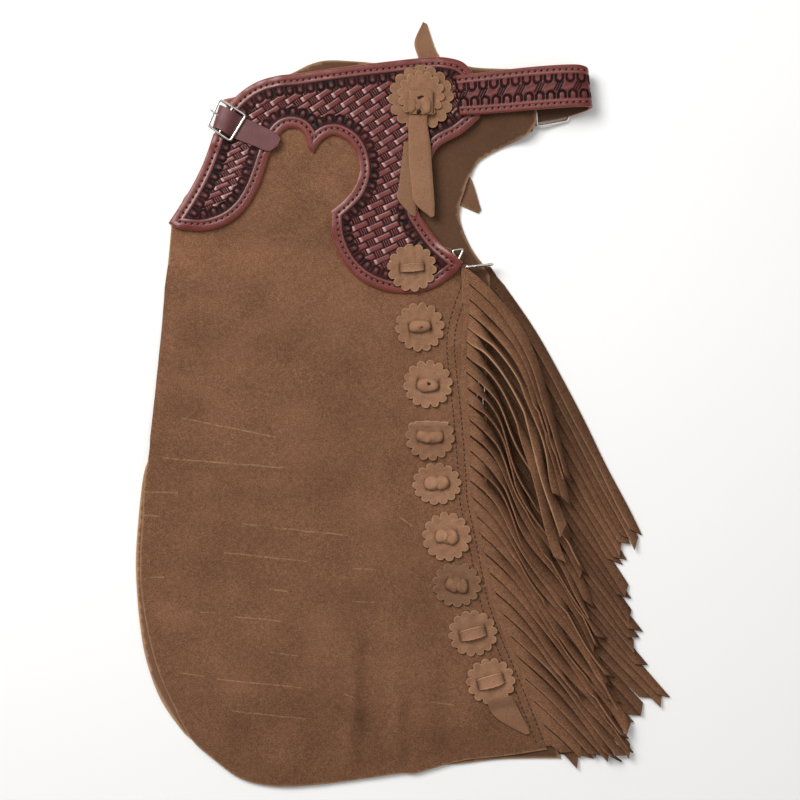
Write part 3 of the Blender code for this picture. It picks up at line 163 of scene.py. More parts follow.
# Columns: share of the way down the fringe, then the direction of its strands where they start
# and where they end, in degrees below level.
NEAR_FAN = ((0.0, 41, 74), (0.2, 41, 74), (0.23, 41, 64), (0.5, 41, 58.5), (0.8, 41, 51), (1.0, 41, 49))
FAR_FAN = ((0.0, 54, 63), (0.15, 53, 60), (0.3, 51, 57), (0.5, 48, 50.5), (0.62, 46, 46),
           (0.8, 46, 47), (1.0, 48, 52))

# The length of each strand, from the top.
NEAR_LENGTHS = (236, 214, 228, 204, 226, 238, 246, 232, 250, 240, 254, 246, 232, 252, 244, 248, 228,
                240, 226, 222, 204, 180, 158, 128, 98, 62, 30)
FAR_LENGTHS = (292, 286, 264, 252, 244, 238, 226, 240, 232, 236, 240, 230, 226, 232, 256, 240, 214,
               200, 184, 166, 150, 128, 106, 84, 60, 30)
# How far each tip is cut on a slant, over and over down the fringe.
TIP_SLANTS = (12, -9, 11, 8, -11, 10, 13, -8)
# The strands of each layer, from the one that is laid first.
NEAR_LAYERS = ((6, 27), (0, 6))
FAR_LAYERS = ((0, 26),)
Strand = namedtuple("Strand", "length start finish width slant")

# Columns: across, down, knot length across, knot width down, knot height, knot turn in degrees,
# height of the disc as a share of its width, tone.
ROSETTES = (
    (412, 268, 24, 9, 3.6, 4, 0.97, 0.98),
    (420, 327, 21, 13, 6.5, 6, 1.0, 1.04),
    (428, 384, 21, 14, 6.5, -4, 0.98, 1.04),
    (430, 437, 24, 12, 6.0, 0, 0.97, 0.94),
    (437, 484, 22, 13, 6.5, 5, 0.86, 1.08),
    (447, 537, 20, 14, 7.0, 8, 1.0, 1.1),
    (457, 585, 20, 15, 7.5, -6, 0.92, 0.74),
    (473, 634, 26, 13, 5.0, 14, 0.94, 1.0),
    (491, 682, 26, 14, 4.6, 16, 0.94, 1.14),
)
ROSETTE_RADIUS = 25.0
ROSETTE_LOBES = 14
# The rosette whose top is folded over, and how far above its middle the fold is.
FOLDED_ROSETTE = 4
FOLDED_AT = 15.0
# A knot that stands less high than this is a flat strap.
LOWEST_LUMP = 5.5
# The knots that are drawn up as one bun, and the parts of a knot: how far along it each part
# sits, its share of the knot's length and of its width, how high it stands, how light it is.
BUN_KNOTS = (2, 3)
# A bun's second part is a small dark lump, painted shade in the hole that the thong goes into.
BUN = ((0.0, 1.05, 1.0, 0.72, 1.15), (0.04, 0.22, 0.34, 0.78, 0.2))
TWO_LUMPS = ((-0.22, 0.72, 1.0, 0.74, 1.22), (0.24, 0.66, 1.0, 0.7, 1.16), (0.02, 0.6, 1.0, 0.5, 1.0))
# Columns: across, down, turn, size along and beside, share of the height, tone. The thong of the
# large rosette comes up through the upper hole, crosses itself and goes on down as the front tie.
# The two last rows, with a tone of 0.12, are dark lumps of painted shade that stand for the washer's two
# holes.
LARGE_KNOT = (
    (411.5, 107.0, 82.0, 15.0, 9.0, 0.66, 1.0), (425.5, 106.0, 100.0, 18.0, 11.0, 0.8, 1.1),
    (419.5, 105.0, 74.0, 14.0, 7.0, 0.62, 0.92), (420.8, 98.9, 15.0, 7.0, 4.6, 0.6, 0.12),
    (418.6, 112.9, 60.0, 5.0, 4.0, 0.95, 0.12),
)

# Columns: the two edges of a tie or strap, each across and down, from its root to its end.
TIE_FRONT = (
    (410, 116, 428, 114), (408.5, 126, 427, 122), (408.5, 145, 430, 142),
    (409, 165, 431.5, 162), (411.5, 185, 433, 182), (414.5, 203, 434.5, 203),
    (430.5, 217.5, 434.5, 216),
)
TIE_BACK = (
    (404, 142, 418, 142), (401.5, 165, 417, 165), (399, 185, 416, 185),
    (397.5, 199, 416, 204), (410.5, 215, 416, 217),
)
TIE_FAR_TOP = ((418.3, 56.4, 440, 55.4), (414.5, 40, 435, 46), (423, 20, 427, 22))
TIE_FAR_BOTTOM = ((459, 172, 449, 199), (471, 177, 461.5, 205), (481.5, 209, 478.5, 212.5))
LEAF_TIE = (
    (487, 701, 511, 696), (490.5, 711, 517, 706), (498, 720, 523, 718), (513, 729, 529, 729),
    (525, 735.5, 530.5, 734.5),
)

# Columns: the two edges of the belt (across and down twice), height of its middle as a tenth
# part of the way from its start to its tip, thickness.
# It leaves the near yoke, folds round at the right and comes back beneath, through the rear
# buckle and the keeper.
BELT_STATIONS = (
    (456.0, 76.0, 460.0, 116.0, 0.0, BELT_LEATHER),
    (479.5, 73.5, 481.0, 115.0, 0.4, BELT_LEATHER),
    (505.0, 70.5, 506.0, 113.2, 1.0, BELT_LEATHER),
    (530.0, 68.0, 531.0, 111.2, 2.0, BELT_LEATHER),
    (553.0, 66.4, 554.0, 109.6, 3.1, BELT_LEATHER),
    (568.0, 65.8, 569.5, 108.6, 3.4, BELT_LEATHER),
    (578.0, 65.8, 580.5, 108.0, 2.6, BELT_LEATHER),
    (584.0, 67.0, 587.8, 107.6, 0.6, BELT_LEATHER),
    (586.2, 69.0, 590.6, 107.8, -2.4, BELT_LEATHER),
    (584.5, 70.6, 589.6, 109.0, -5.6, BELT_LEATHER),
    (578.5, 72.2, 584.0, 111.2, -7.4, 3.4),
    (566.0, 75.2, 568.8, 116.0, -7.9, BELT_TIP_LEATHER),
    (552.0, 78.8, 553.8, 119.0, -9.0, BELT_TIP_LEATHER),
    (537.0, 81.2, 538.0, 121.4, -10.0, BELT_TIP_LEATHER),
    (512.5, 85.2, 513.5, 124.0, -10.0, BELT_TIP_LEATHER),
)
BELT_TIP_LEVEL = 2.8

# The rear buckle lies tilted: its right bar is on the floor, its left bar above the belt's tip.
REAR_BUCKLE_LEFT = ((535.0, 73.5), (537.6, 125.8))
REAR_BUCKLE_RIGHT = ((565.5, 70.0), (569.4, 119.4))
REAR_BUCKLE_LEFT_HEIGHT = 6.2
REAR_BUCKLE_RIGHT_HEIGHT = 1.7
REAR_TONGUE_RADIUS = 1.0

# Columns: the chape's two edges (across and down twice), height of its middle.
CHAPE_STATIONS = (
    (481.6, 88.0, 482.4, 117.0, 1.8), (491.0, 87.0, 492.5, 121.5, 2.6),
    (502.0, 85.5, 503.5, 123.8, 5.6), (511.0, 84.5, 512.5, 123.0, 6.1),
    (533.2, 81.8, 535.0, 121.8, 6.2),
)
KEEPER_ACROSS = (527.8, 533.4)
KEEPER_DOWN = (76.0, 129.6)
KEEPER_INSIDE = (1.2, 7.8)
# Columns: the front strap's two edges (across and down twice), height above the near yoke's top.
STRAP_STATIONS = (
    (280.6, 139.0, 277.4, 146.6, 1.4), (277.5, 134.2, 267.9, 151.6, 1.4),
    (262.0, 125.8, 253.4, 146.2, 1.4), (250.0, 120.4, 241.4, 141.6, 1.4),
    (242.0, 116.4, 230.6, 137.1, 1.5), (237.4, 114.1, 227.6, 135.4, 5.2),
    (232.6, 111.6, 224.4, 133.4, 8.3), (226.8, 108.5, 219.2, 130.2, 8.2),
    (222.6, 106.3, 215.5, 128.4, 6.2), (220.9, 105.4, 214.0, 127.8, 2.4),
    (220.7, 105.3, 213.8, 127.7, -2.4), (221.8, 105.8, 214.9, 128.3, -6.6),
    (223.9, 106.8, 217.0, 129.3, -8.9),
)

# The front buckle lies level: two long bars beside the strap, a bar at each end and one in the
# middle, which the chape holds and the tongue turns on.
FRONT_BUCKLE_CORNERS = ((220.0, 100.0), (246.0, 116.0), (230.5, 141.5), (208.5, 126.0))
FRONT_BUCKLE_LEVEL = 4.4

# A spring snap, bent from wire: eye, spine and nose, with a gate that swings inwards.
SNAP_WIRE = 1.4
SNAP_EYE_RADIUS = 3.4
SNAP_EYE_CENTRE = 4.6
SNAP_HALF_WIDTH = 3.3
SNAP_NOSE_START = 26.0
SNAP_MOUTH_END = 23.4
SNAP_LUG_END = 9.4
GATE_RADIUS = 1.1
GATE_START = 10.3
GATE_END = 23.1

# Columns: name, eye across and down, nose across and down, "standing" on its edge or lying "flat",
# side of the gate.
SNAPS = (
    ("snap_upper", 463.6, 267.4, 494.0, 264.2, "standing", 1.0),
    ("snap_lower", 479.5, 407.5, 483.0, 376.0, "flat", 1.0),
)
# Columns: name, then its two edges (across and down twice) from its hidden root to the snap.
TABS = (
    ("tab_snap_upper", ((441, 262.5, 443, 272), (455, 263.8, 456, 273), (461.6, 264.6, 462.4, 272.6))),
    ("tab_snap_lower", ((452, 408, 454, 419), (466, 405.6, 468, 416), (475.6, 405.4, 477.0, 414))),
    ("tab_ring", ((437.0, 246.5, 430.0, 256.0), (447.5, 247.0, 441.5, 258.0),
                  (455.0, 251.8, 449.8, 259.4))),
)
RING_CORNERS = ((463.5, 248.6), (458.0, 261.0), (451.5, 250.6))
RING_WIRE = 2.0


def linear(code):
    """An sRGB hex colour as linear values."""
    channels = [int(code[index:index + 2], 16) / 255 for index in (1, 3, 5)]
    return tuple(value / 12.92 if value <= 0.04045 else ((value + 0.055) / 1.055) ** 2.4
                 for value in channels)


def colour_setting(name, description, code):
    return FloatVectorProperty(name=name, description=description, default=linear(code),
                               subtype="COLOR", size=3, min=0.0, max=1.0)


def length_setting(name, description, millimetres):
    return FloatProperty(name=name, description=description, default=millimetres * MM,
                         unit="LENGTH", min=0.0, precision=5)


class ChapsLeather(bpy.types.PropertyGroup):
    """Colours of the suede and the leathers."""
    suede: colour_setting("Suede", "Colour of the legs and the fringe", "#75503B")
    suede_shade: colour_setting("Suede shade", "Colour where the nap is brushed flat", "#523827")
    suede_glow: colour_setting("Suede glow", "Colour where the nap stands up", "#8E6A50")
    rosette: colour_setting("Rosettes", "Colour of the rosettes, knots and ties", "#8E6A52")
    # The inside colour is the flesh side darkened as painted shade between the legs; the tooled leather's
    # flesh side takes it too.
    inside: colour_setting("Inside", "Colour of the flesh side between the legs", "#553D2E")
    raw_edge: colour_setting("Raw edge", "Colour of the cut edges of the suede", "#AB8868")
    oxblood: colour_setting("Yokes and belt", "Colour of the tooled leather", "#6B2720")
    oxblood_deep: colour_setting("Tooling", "Colour at the bottom of the tooling", "#160D0E")
    # The rubbed colour of the raised places is whitened to serve also as painted highlight.
    oxblood_rubbed_and_highlight: colour_setting("Rubbed leather", "Colour of the raised places", "#BE9593")
    yoke_edge: colour_setting("Yoke edge", "Colour of the cut edge of the yokes", "#A8623F")
    strap: colour_setting("Front strap", "Colour of the smooth strap", "#663B3D")


class ChapsTooling(bpy.types.PropertyGroup):
    """Sizes of the stamped pattern and the stitching."""
    weave_length: length_setting("Weave length", "From one bar of the weave to the next", 25.7)
    weave_row: length_setting("Weave row", "From one row of the weave to the next", 6.6)
    border_pitch: length_setting("Border pitch", "From one border stamp to the next", 10.5)
    border_inset: length_setting("Border inset", "From the edge to the line of the border", 12.0)
    stitch_inset: length_setting("Stitch inset", "From the edge to the stitching", 7.0)
    stitch_pitch: length_setting("Stitch pitch", "From one stitch hole to the next", 6.2)
    depth: length_setting("Tooling depth", "How deep the stamps are pressed", 0.9)


class ChapsFringe(bpy.types.PropertyGroup):
    """Sizes of the fringe."""
    leather: length_setting("Strand leather", "Thickness of a strand", 1.5)
    section: length_setting("Section", "From one section of a strand to the next", 5.0)
    curl: length_setting("Curl", "How far a strand's middle stands above its edges", 0.5)


class ChapsStage(bpy.types.PropertyGroup):
    """The floor, the lights and the camera."""
    floor: colour_setting("Floor", "Colour of the floor", "#F4F3F1")
    key_power: FloatProperty(name="Key light", description="Power of the soft key light",
                             default=60.0, min=0.0, unit="POWER")
    fill_power: FloatProperty(name="Fill light", description="Power of the soft fill light",
                              default=9.0, min=0.0, unit="POWER")
    lens: FloatProperty(name="Lens", description="Focal length in millimetres", default=100.0,
                        min=20.0, subtype="DISTANCE_CAMERA")
    view_width: length_setting("View width", "Width of what the camera sees at the leather", 800.0)


def board(across, down):
    """A place on the board, in millimetres from its middle."""
    return (across - BOARD_MIDDLE_ACROSS, BOARD_MIDDLE_DOWN - down)


def curve_through(points, step, closed=False):
    """Points about one step apart on a smooth curve through the given ones."""
    points = np.array(points, dtype=float)
    if closed:
        fence = np.vstack([points[-1:], points, points[:2]])
    else:
        fence = np.vstack([2 * points[0] - points[1], points, 2 * points[-1] - points[-2]])
    curve = []
    for index in range(len(fence) - 3):
        before, start, end, after = fence[index:index + 4]
        count = max(1, round(float(np.linalg.norm(end - start)) / step))
        for part in range(count):
            t = part / count
            bend = 2 * before - 5 * start + 4 * end - after
            twist = -before + 3 * start - 3 * end + after
            curve.append(0.5 * (2 * start + (end - before) * t + bend * t ** 2 + twist * t ** 3))
    if not closed:
        curve.append(points[-1])
    return np.array(curve)


def outline_of(rows, step):
    """A closed outline through the rows, smooth but for its corners."""
    points = [board(*row[:2]) for row in rows]
    corners = [index for index, row in enumerate(rows) if "corner" in row]
    if not corners:
        return curve_through(points, step, closed=True)
    outline = []
    for first, last in zip(corners, corners[1:] + [corners[0] + len(rows)]):
        run = [points[index % len(rows)] for index in range(first, last + 1)]
        outline.extend(curve_through(run, step)[:-1])
    return np.array(outline)


def inside(outline, places):
    """Which places lie inside the outline."""
    ends = np.roll(outline, -1, axis=0)
    result = np.zeros(len(places), dtype=bool)
    for (x1, y1), (x2, y2) in zip(outline, ends):
        if y1 == y2:
            continue
        spans = (places[:, 1] < y1) != (places[:, 1] < y2)
        crossing = x1 + (places[:, 1] - y1) * (x2 - x1) / (y2 - y1)
        result ^= spans & (places[:, 0] < crossing)
    return result


def tree_of(points):
    """A search tree over points in the plane."""
    tree = KDTree(len(points))
    for index, point in enumerate(points):
        tree.insert((point[0], point[1], 0.0), index)
    tree.balance()
    return tree


def nearest(tree, places):
    """The index of the nearest point of a tree, and how far it is, for each place."""
    found = [tree.find((place[0], place[1], 0.0)) for place in places]
    return np.array([hit[1] for hit in found]), np.array([hit[2] for hit in found])


def fill_outline(outline, spacing):
    """Triangles that fill an outline, with inner points in staggered rows."""
    low = outline.min(axis=0)
    high = outline.max(axis=0)
    row_height = spacing * math.sqrt(3) / 2
    rows = []
    for index, y in enumerate(np.arange(low[1] + row_height / 2, high[1], row_height)):
        shift = spacing / 2 * (index % 2)
        rows.extend((x, y) for x in np.arange(low[0] + shift, high[0], spacing))
    places = np.array(rows) if rows else np.zeros((0, 2))
    if len(places):
        places = places[inside(outline, places)]
    if len(places):
        _, away = nearest(tree_of(outline), places)
        places = places[away > 0.62 * spacing + RIM_INSET]
    points = np.vstack([outline, places])
    rim = list(range(len(outline)))
    area = 0.5 * np.sum(outline[:, 0] * np.roll(outline[:, 1], -1)
                        - np.roll(outline[:, 0], -1) * outline[:, 1])
    loop = rim if area > 0 else rim[::-1]
    found = delaunay_2d_cdt([Vector(point) for point in points], [], [loop], 1, 1e-5)
    return points, [list(face) for face in found[2]]


def unevenness(places, length, seed):
    """A gentle irregular rise and fall within about one either way, so long from crest to crest."""
    chance = np.random.default_rng(seed)
    total = np.zeros(len(places))
    for _ in range(7):
        way = chance.uniform(0, math.tau)
        pitch = length * chance.uniform(0.6, 1.7)
        start = chance.uniform(0, math.tau)
        total += np.sin(places @ np.array([math.cos(way), math.sin(way)]) * math.tau / pitch + start)
    return total / 3.5


def box_blurred(field, reach):
    """A field averaged over the cells within reach, twice."""
    result = field
    for axis in (0, 1, 0, 1):
        total = np.zeros_like(result)
        for shift in range(-reach, reach + 1):
            total += np.roll(result, shift, axis)
        result = total / (2 * reach + 1)
    return result


def read(field, places):
    """Values of a field between its cells."""
    spots = np.asarray(places, dtype=float) + BOARD_SIZE / 2
    low = np.floor(spots).astype(int)
    part = spots - low
    x, y = low[:, 0], low[:, 1]
    bottom = field[y, x] * (1 - part[:, 0]) + field[y, x + 1] * part[:, 0]
    top = field[y + 1, x] * (1 - part[:, 0]) + field[y + 1, x + 1] * part[:, 0]
    return bottom * (1 - part[:, 1]) + top * part[:, 1]


def widened(field, reach):
    """The highest level within reach of each cell."""
    result = field
    for axis in (0, 1):
        result = np.max([np.roll(result, shift, axis) for shift in range(-reach, reach + 1)], axis=0)
    return result


def cover(field, points, faces):
    """Raise a field to the upper side of a solid."""
    for face in faces:
        for index in range(1, len(face) - 1):
            cover_triangle(field, points[[face[0], face[index], face[index + 1]]])


def cover_triangle(field, corners):
    """Raise the cells whose middles lie under one triangle."""
    flat = corners[:, :2] + BOARD_SIZE / 2
    low = np.floor(flat.min(axis=0)).astype(int)
    high = np.ceil(flat.max(axis=0)).astype(int) + 1
    (x1, y1), (x2, y2), (x3, y3) = flat
    area = (y2 - y3) * (x1 - x3) + (x3 - x2) * (y1 - y3)
    if abs(area) < 1e-6:
        return
    across, up = np.meshgrid(np.arange(low[0], high[0]), np.arange(low[1], high[1]))
    first = ((y2 - y3) * (across - x3) + (x3 - x2) * (up - y3)) / area
    second = ((y3 - y1) * (across - x3) + (x1 - x3) * (up - y3)) / area
    third = 1 - first - second
    covered = (first >= -1e-6) & (second >= -1e-6) & (third >= -1e-6)
    level = first * corners[0, 2] + second * corners[1, 2] + third * corners[2, 2]
    block = field[low[1]:high[1], low[0]:high[0]]
    np.maximum(block, np.where(covered, level, 0), out=block)


def empty_field():
    return np.zeros((BOARD_SIZE, BOARD_SIZE))


def solid_tops(*names):
    """The height of the upper side of the named solids over each cell, and zero beside them."""
    field = empty_field()
    for name in names:
        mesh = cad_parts[name].data
        mesh.calc_loop_triangles()
        points = np.array([vertex.co for vertex in mesh.vertices]) / MM
        cover(field, points, [list(face.vertices) for face in mesh.loop_triangles])
    return field


def spread_out(field, reach):
    """A field carried on past its own edges."""
    result = field.copy()
    for _ in range(reach):
        around = np.max([np.roll(result, shift, axis) for axis in (0, 1) for shift in (-1, 1)], axis=0)
        result = np.where(result > 0, result, around)
    return result


def smooth_top(name, reach):
    """The upper side of a solid, its facets smoothed."""
    return box_blurred(spread_out(solid_tops(name), 3 * reach + 4), reach)


# The tool mark of leather that isn't stamped, and of the flesh side.
UNTOOLED = 0.55
FLESH_TOOL = 0.1


class Piece:
    """The points, faces and surface marks of a piece while it is made, in millimetres."""

    def __init__(self):
        self.points = []
        self.faces = []
        self.marks = {"edge": [], "tone": [], "tool": []}

    def add_points(self, points, edge=0.0, tone=1.0, tool=UNTOOLED):
        """Add points with their marks, each one number or one for each point. Return their start."""
        start = len(self.points)
        self.points.extend(tuple(point) for point in points)
        for name, value in (("edge", edge), ("tone", tone), ("tool", tool)):
            values = np.broadcast_to(np.asarray(value, dtype=float), (len(points),))
            self.marks[name].extend(values.tolist())
        return start

    def add_faces(self, faces, start):
        self.faces.extend([[start + corner for corner in face] for face in faces])

    def join_rings(self, start, size, count):
        """Add the faces that join so many closed rings of points, each to the next."""
        for low in range(start, start + size * (count - 1), size):
            for corner in range(size):
                beside = (corner + 1) % size
                self.faces.append([low + corner, low + beside, low + size + beside, low + size + corner])

    def finish(self, name, material, *replaces):
        """Make the piece an object that rides on the chaps and stands for its solids."""
        mesh = bpy.data.meshes.new(name)
        mesh.from_pydata([Vector(point) * MM for point in self.points], [], self.faces)
        for mark, values in self.marks.items():
            mesh.attributes.new(mark, "FLOAT", "POINT").data.foreach_set("value", values)
        shell = bmesh.new()
        shell.from_mesh(mesh)
        bmesh.ops.recalc_face_normals(shell, faces=shell.faces)
        shell.to_mesh(mesh)
        shell.free()
        mesh.shade_smooth()
        mesh.set_sharp_from_angle(angle=math.radians(60))
        mesh.materials.append(material_named(material))
        piece = bpy.data.objects.new(name, mesh)
        bpy.context.scene.collection.objects.link(piece)
        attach(piece, BODY)
        if replaces:
            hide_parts(*replaces)
        return piece


def sheet(piece, outline, spacing, back_spacing, top_at, thickness, fold=None, tool_at=None,
          tone=1.0, sewn=None):
    """Add a sheet of leather to a piece: its grain side as top_at says, its back, and its edge."""
    back, back_faces = fill_outline(outline, back_spacing)
    top, top_faces = fill_outline(outline, spacing)
    rim = len(outline)
    inward = inward_of(outline)
    folded = set(fold[0]) if fold else set()
    inset = np.array([0.0 if index in folded else RIM_INSET for index in range(rim)])[:, None]
    heights = top_at(top)
    back_heights = np.maximum(top_at(back) - thickness, 0.0)
    tool = tool_at(top) if tool_at else np.full(len(top), UNTOOLED)
    top = top.copy()
    top[:rim] += inward * inset
    back = back.copy()
    back[:rim] += inward * inset
    points = [(x, y, z) for (x, y), z in zip(back, back_heights)]
    count = len(points)
    points += [(x, y, z) for (x, y), z in zip(top, heights)]
    pale = np.array([0.0 if sewn and sewn(place) else 1.0 for place in outline])
    edge = np.zeros(len(points))
    edge[:rim] = 0.8 * pale
    edge[count:count + rim] = [0.0 if index in folded else 0.75 * pale[index] for index in range(rim)]
    if callable(tone):
        tone_at = tone
        tone = np.concatenate([tone_at(back), tone_at(top)])
        rim_tone = np.minimum(tone_at(outline), 1.0)
        fold_tone = float(rim_tone[fold[0][len(fold[0]) // 2]]) if fold else 1.0
    else:
        rim_tone = fold_tone = tone
    marks = np.concatenate([np.full(count, UNTOOLED), tool])
    start = piece.add_points(points, edge, tone, marks)
    faces = [[a, c, b] for a, b, c in back_faces]
    faces += [[a + count, b + count, c + count] for a, b, c in top_faces]
    piece.add_faces(faces, start)
    open_run = set()
    if fold:
        open_run = set(fold[0][:-1])
        more_points, more_faces = fold_round(points, outline, count, fold)
        fold_start = piece.add_points(more_points, 0.0, fold_tone)
        shift = fold_start - len(points)
        for face in more_faces:
            piece.faces.append([corner + start if corner < len(points) else corner + shift
                                for corner in face])
    middle_heights = (np.array(heights[:rim]) + np.array(back_heights[:rim])) / 2
    middles = [(*outline[index], middle_heights[index]) for index in range(rim)]
    middle = piece.add_points(middles, pale, rim_tone)
    for index in (fold[0][0], fold[0][-1]) if fold else ():
        piece.faces.append([start + index, middle + index, start + count + index])
    for index in range(rim):
        after = (index + 1) % rim
        if index in open_run:
            continue
        low, low_after = start + index, start + after
        high, high_after = start + count + index, start + count + after
        piece.faces.append([low, low_after, middle + after, middle + index])
        piece.faces.append([middle + index, middle + after, high_after, high])


def fold_round(points, outline, count, fold):
    """The half round and the return of a folded edge, as points past the given ones and faces."""
    run, return_under, side = fold
    turns = [math.pi * step / 8 for step in range(9)]
    added = []
    faces = []
    all_columns = []
    for name in ("outer", "inner"):
        columns = []
        for order, index in enumerate(run):
            before = outline[run[max(order - 1, 0)]]
            after = outline[run[min(order + 1, len(run) - 1)]]
            along = (after - before) / np.linalg.norm(after - before)
            inward = np.array([along[1], -along[0]])
            width = FOLD_RETURN * (0.4 + 0.6 * math.sin(math.pi * order / (len(run) - 1)))
            ease = min(1.0, (min(order, len(run) - 1 - order) + 0.5) / FOLD_EASE)
            low, high = points[index][2], points[index + count][2]
            low_first = (name == "outer") == (side == "over")
            first = index if low_first else index + count
            begin = low if low_first else high
            end = return_under + (SUEDE if low_first else 0.0)
            column = [first]
            middle, radius = (begin + end) / 2, (begin - end) / 2
            for turn in turns[1:]:
                spot = outline[index] - inward * abs(radius) * math.sin(turn) * ease
                added.append((spot[0], spot[1], middle + radius * math.cos(turn)))
                column.append(len(points) + len(added) - 1)
            for share in (0.34, 0.67, 1.0):
                spot = outline[index] + inward * width * share
                added.append((spot[0], spot[1], end))
                column.append(len(points) + len(added) - 1)
            columns.append(column)
        all_columns.append(columns)
        last = len(columns[0]) - 1
        for left, right in zip(columns, columns[1:]):
            for row in range(last):
                faces.append([left[row], right[row], right[row + 1], left[row + 1]])
    outer, inner = all_columns
    for end in (0, -1):
        for row in range(last):
            faces.append([outer[end][row], outer[end][row + 1], inner[end][row + 1], inner[end][row]])
    for order in range(len(run) - 1):
        faces.append([outer[order][last], outer[order + 1][last], inner[order + 1][last],
                      inner[order][last]])
    return added, faces


def rim_run(outline, ends):
    """The rim indices from one named end of a fold to the other."""
    first, last = (int(np.argmin(np.linalg.norm(outline - np.array(board(*end)), axis=1)))
                   for end in ends)
    if last <= first:
        last += len(outline)
    return [index % len(outline) for index in range(first, last + 1)]


def band(piece, edges, thickness, across, crown=0.0, relief=None, tool=None, tone=1.0,
         second_tone=None, rawness=1.0, flesh=None):
    """Add a strap between two edges in space, its cut edges round, to a piece."""
    edges = [(Vector(first), Vector(second)) for first, second in edges]
    middles = [(first + second) / 2 for first, second in edges]
    shares = np.linspace(0, 1, across + 1)
    rings = []
    ring_edges = [0.45] + [0.0] * (across - 1) + [0.45, 1.0] + [0.8] + [0.0] * (across - 1) + [0.8, 1.0]
    normals = []
    for index, (first, second) in enumerate(edges):
        along = middles[min(index + 1, len(edges) - 1)] - middles[max(index - 1, 0)]
        normals.append(along.cross(second - first).normalized())
    thick = thickness if hasattr(thickness, "__len__") else [thickness] * len(edges)
    tools = []
    for index, (first, second) in enumerate(edges):
        normal = normals[index]
        half = thick[index] / 2
        width = (second - first).length
        inset = min(RIM_INSET, width / 4) / width
        top = []
        bottom = []
        row_tools = []
        for order, share in enumerate(shares):
            place = min(max(share, inset), 1 - inset)
            bump = crown * (1 - (2 * share - 1) ** 2)
            carved = relief[index][order] if relief is not None else 0.0
            top.append(first.lerp(second, place) + normal * (half + bump + carved))
            bottom.append(first.lerp(second, place) + normal * (bump - half))
            row_tools.append(tool[index][order] if tool is not None else UNTOOLED)
        rings.append(top + [second] + bottom[::-1] + [first])
        tools += row_tools + [UNTOOLED if flesh is None else FLESH_TOOL] * (across + 3)
    size = len(rings[0])
    count = len(rings)
    first_tone, second_tone = (np.broadcast_to(np.asarray(value, dtype=float), (count,))[:, None]
                               for value in (tone, tone if second_tone is None else second_tone))
    ring_shares = np.array([*shares, 1.0, *shares[::-1], 0.0])
    tones = first_tone + (second_tone - first_tone) * ring_shares
    if flesh is not None:
        tones[:, across + 2:2 * across + 3] = flesh
    tones = tones.ravel()
    start = piece.add_points([point for ring in rings for point in ring],
                             np.array(ring_edges * count) * rawness, tones, tools)
    piece.join_rings(start, size, count)
    for ring, turn in ((0, 1), (count - 1, -1)):
        low = start + ring * size
        for order in range(across):
            piece.faces.append([low + order, low + order + 1, low + size - 3 - order,
                                low + size - 2 - order][::turn])
        piece.faces.append([low + across, low + across + 1, low + across + 2][::turn])
        piece.faces.append([low + size - 1, low, low + size - 2][::turn])


def cross_line(row, level):
    """The two ends in space of a row's cross line at a level."""
    return ((*board(*row[:2]), level), (*board(*row[2:4]), level))


def smooth_edges(stations, step):
    """Stations of a strap, each the two ends of a cross line, made finer along it."""
    rows = np.array([[*first, *second] for first, second in stations], dtype=float)
    fine = curve_through(rows, step)
    return [(row[:3], row[3:]) for row in fine]


# Columns: the ends of each soft crease or ridge (across and down twice), half its breadth, and
# its height, which is negative for a trough.
NEAR_CREASES = (
    (364, 632, 359, 782, 6, -1.3), (352, 640, 346, 770, 8, 0.7), (407, 690, 404, 776, 5, -1.1),
    (393, 640, 392, 760, 8, 0.6), (436, 700, 444, 764, 7, -0.8), (352, 232, 296, 246, 12, -0.9),
    (340, 168, 352, 196, 7, -1.0), (300, 170, 316, 196, 8, 0.6), (262, 300, 330, 268, 16, 0.7),
    (206, 330, 196, 440, 10, -0.5), (170, 470, 300, 474, 7, -0.4), (156, 520, 300, 520, 10, 0.4),
    (150, 600, 214, 610, 9, -0.5), (180, 690, 300, 702, 12, 0.5), (300, 600, 360, 590, 14, -0.5),
    (240, 690, 232, 776, 12, -0.6), (290, 720, 288, 786, 10, 0.5), (390, 420, 396, 520, 10, -0.4),
    (420, 560, 436, 640, 9, -0.5), (448, 650, 476, 740, 8, 0.5), (180, 280, 172, 400, 6, 0.4),
)
FAR_CREASES = (
    (300, 90, 380, 180, 12, 0.8), (480, 150, 468, 240, 7, -0.7), (510, 90, 488, 140, 8, 0.7),
    (486, 300, 480, 420, 6, 0.6), (200, 640, 260, 720, 14, 0.7), (300, 560, 360, 700, 16, -0.6),
    (500, 660, 520, 740, 8, 0.6), (160, 560, 190, 680, 9, 0.6),
)
# Columns: where a fine scratch in the nap starts and ends (across and down twice), its breadth.
SCRATCHES = (
    (182, 418, 275, 437, 0.9), (163, 458, 286, 468, 1.1), (145, 492, 177, 493, 1.0),
    (144, 516, 157, 517, 1.1), (242, 524, 256, 526, 0.9), (273, 528, 347, 536, 0.9),
    (224, 553, 306, 562, 0.9), (149, 578, 163, 578, 1.0), (353, 569, 372, 570, 0.9),
    (269, 590, 287, 592, 1.1), (352, 602, 374, 603, 0.8), (200, 613, 215, 614, 0.8),
    (235, 617, 280, 622, 0.9), (270, 653, 297, 657, 0.9), (180, 674, 204, 677, 0.9),
    (217, 680, 301, 689, 0.9), (344, 695, 353, 698, 0.9), (431, 703, 454, 706, 0.8),
    (232, 712, 305, 720, 0.9), (400, 518, 413, 527, 0.8),
)
# The two lines of stitching along the fringe seam: across, down.
SEAM_STITCHES = (
    (463, 280), (450, 320), (447, 345), (449, 372), (452, 400), (455, 430), (458, 470), (460, 500),
    (466, 530), (472, 560), (480, 600), (490, 630), (500, 655), (512, 682), (525, 715), (537, 745),
)
CREASE_HEIGHT = 1.5
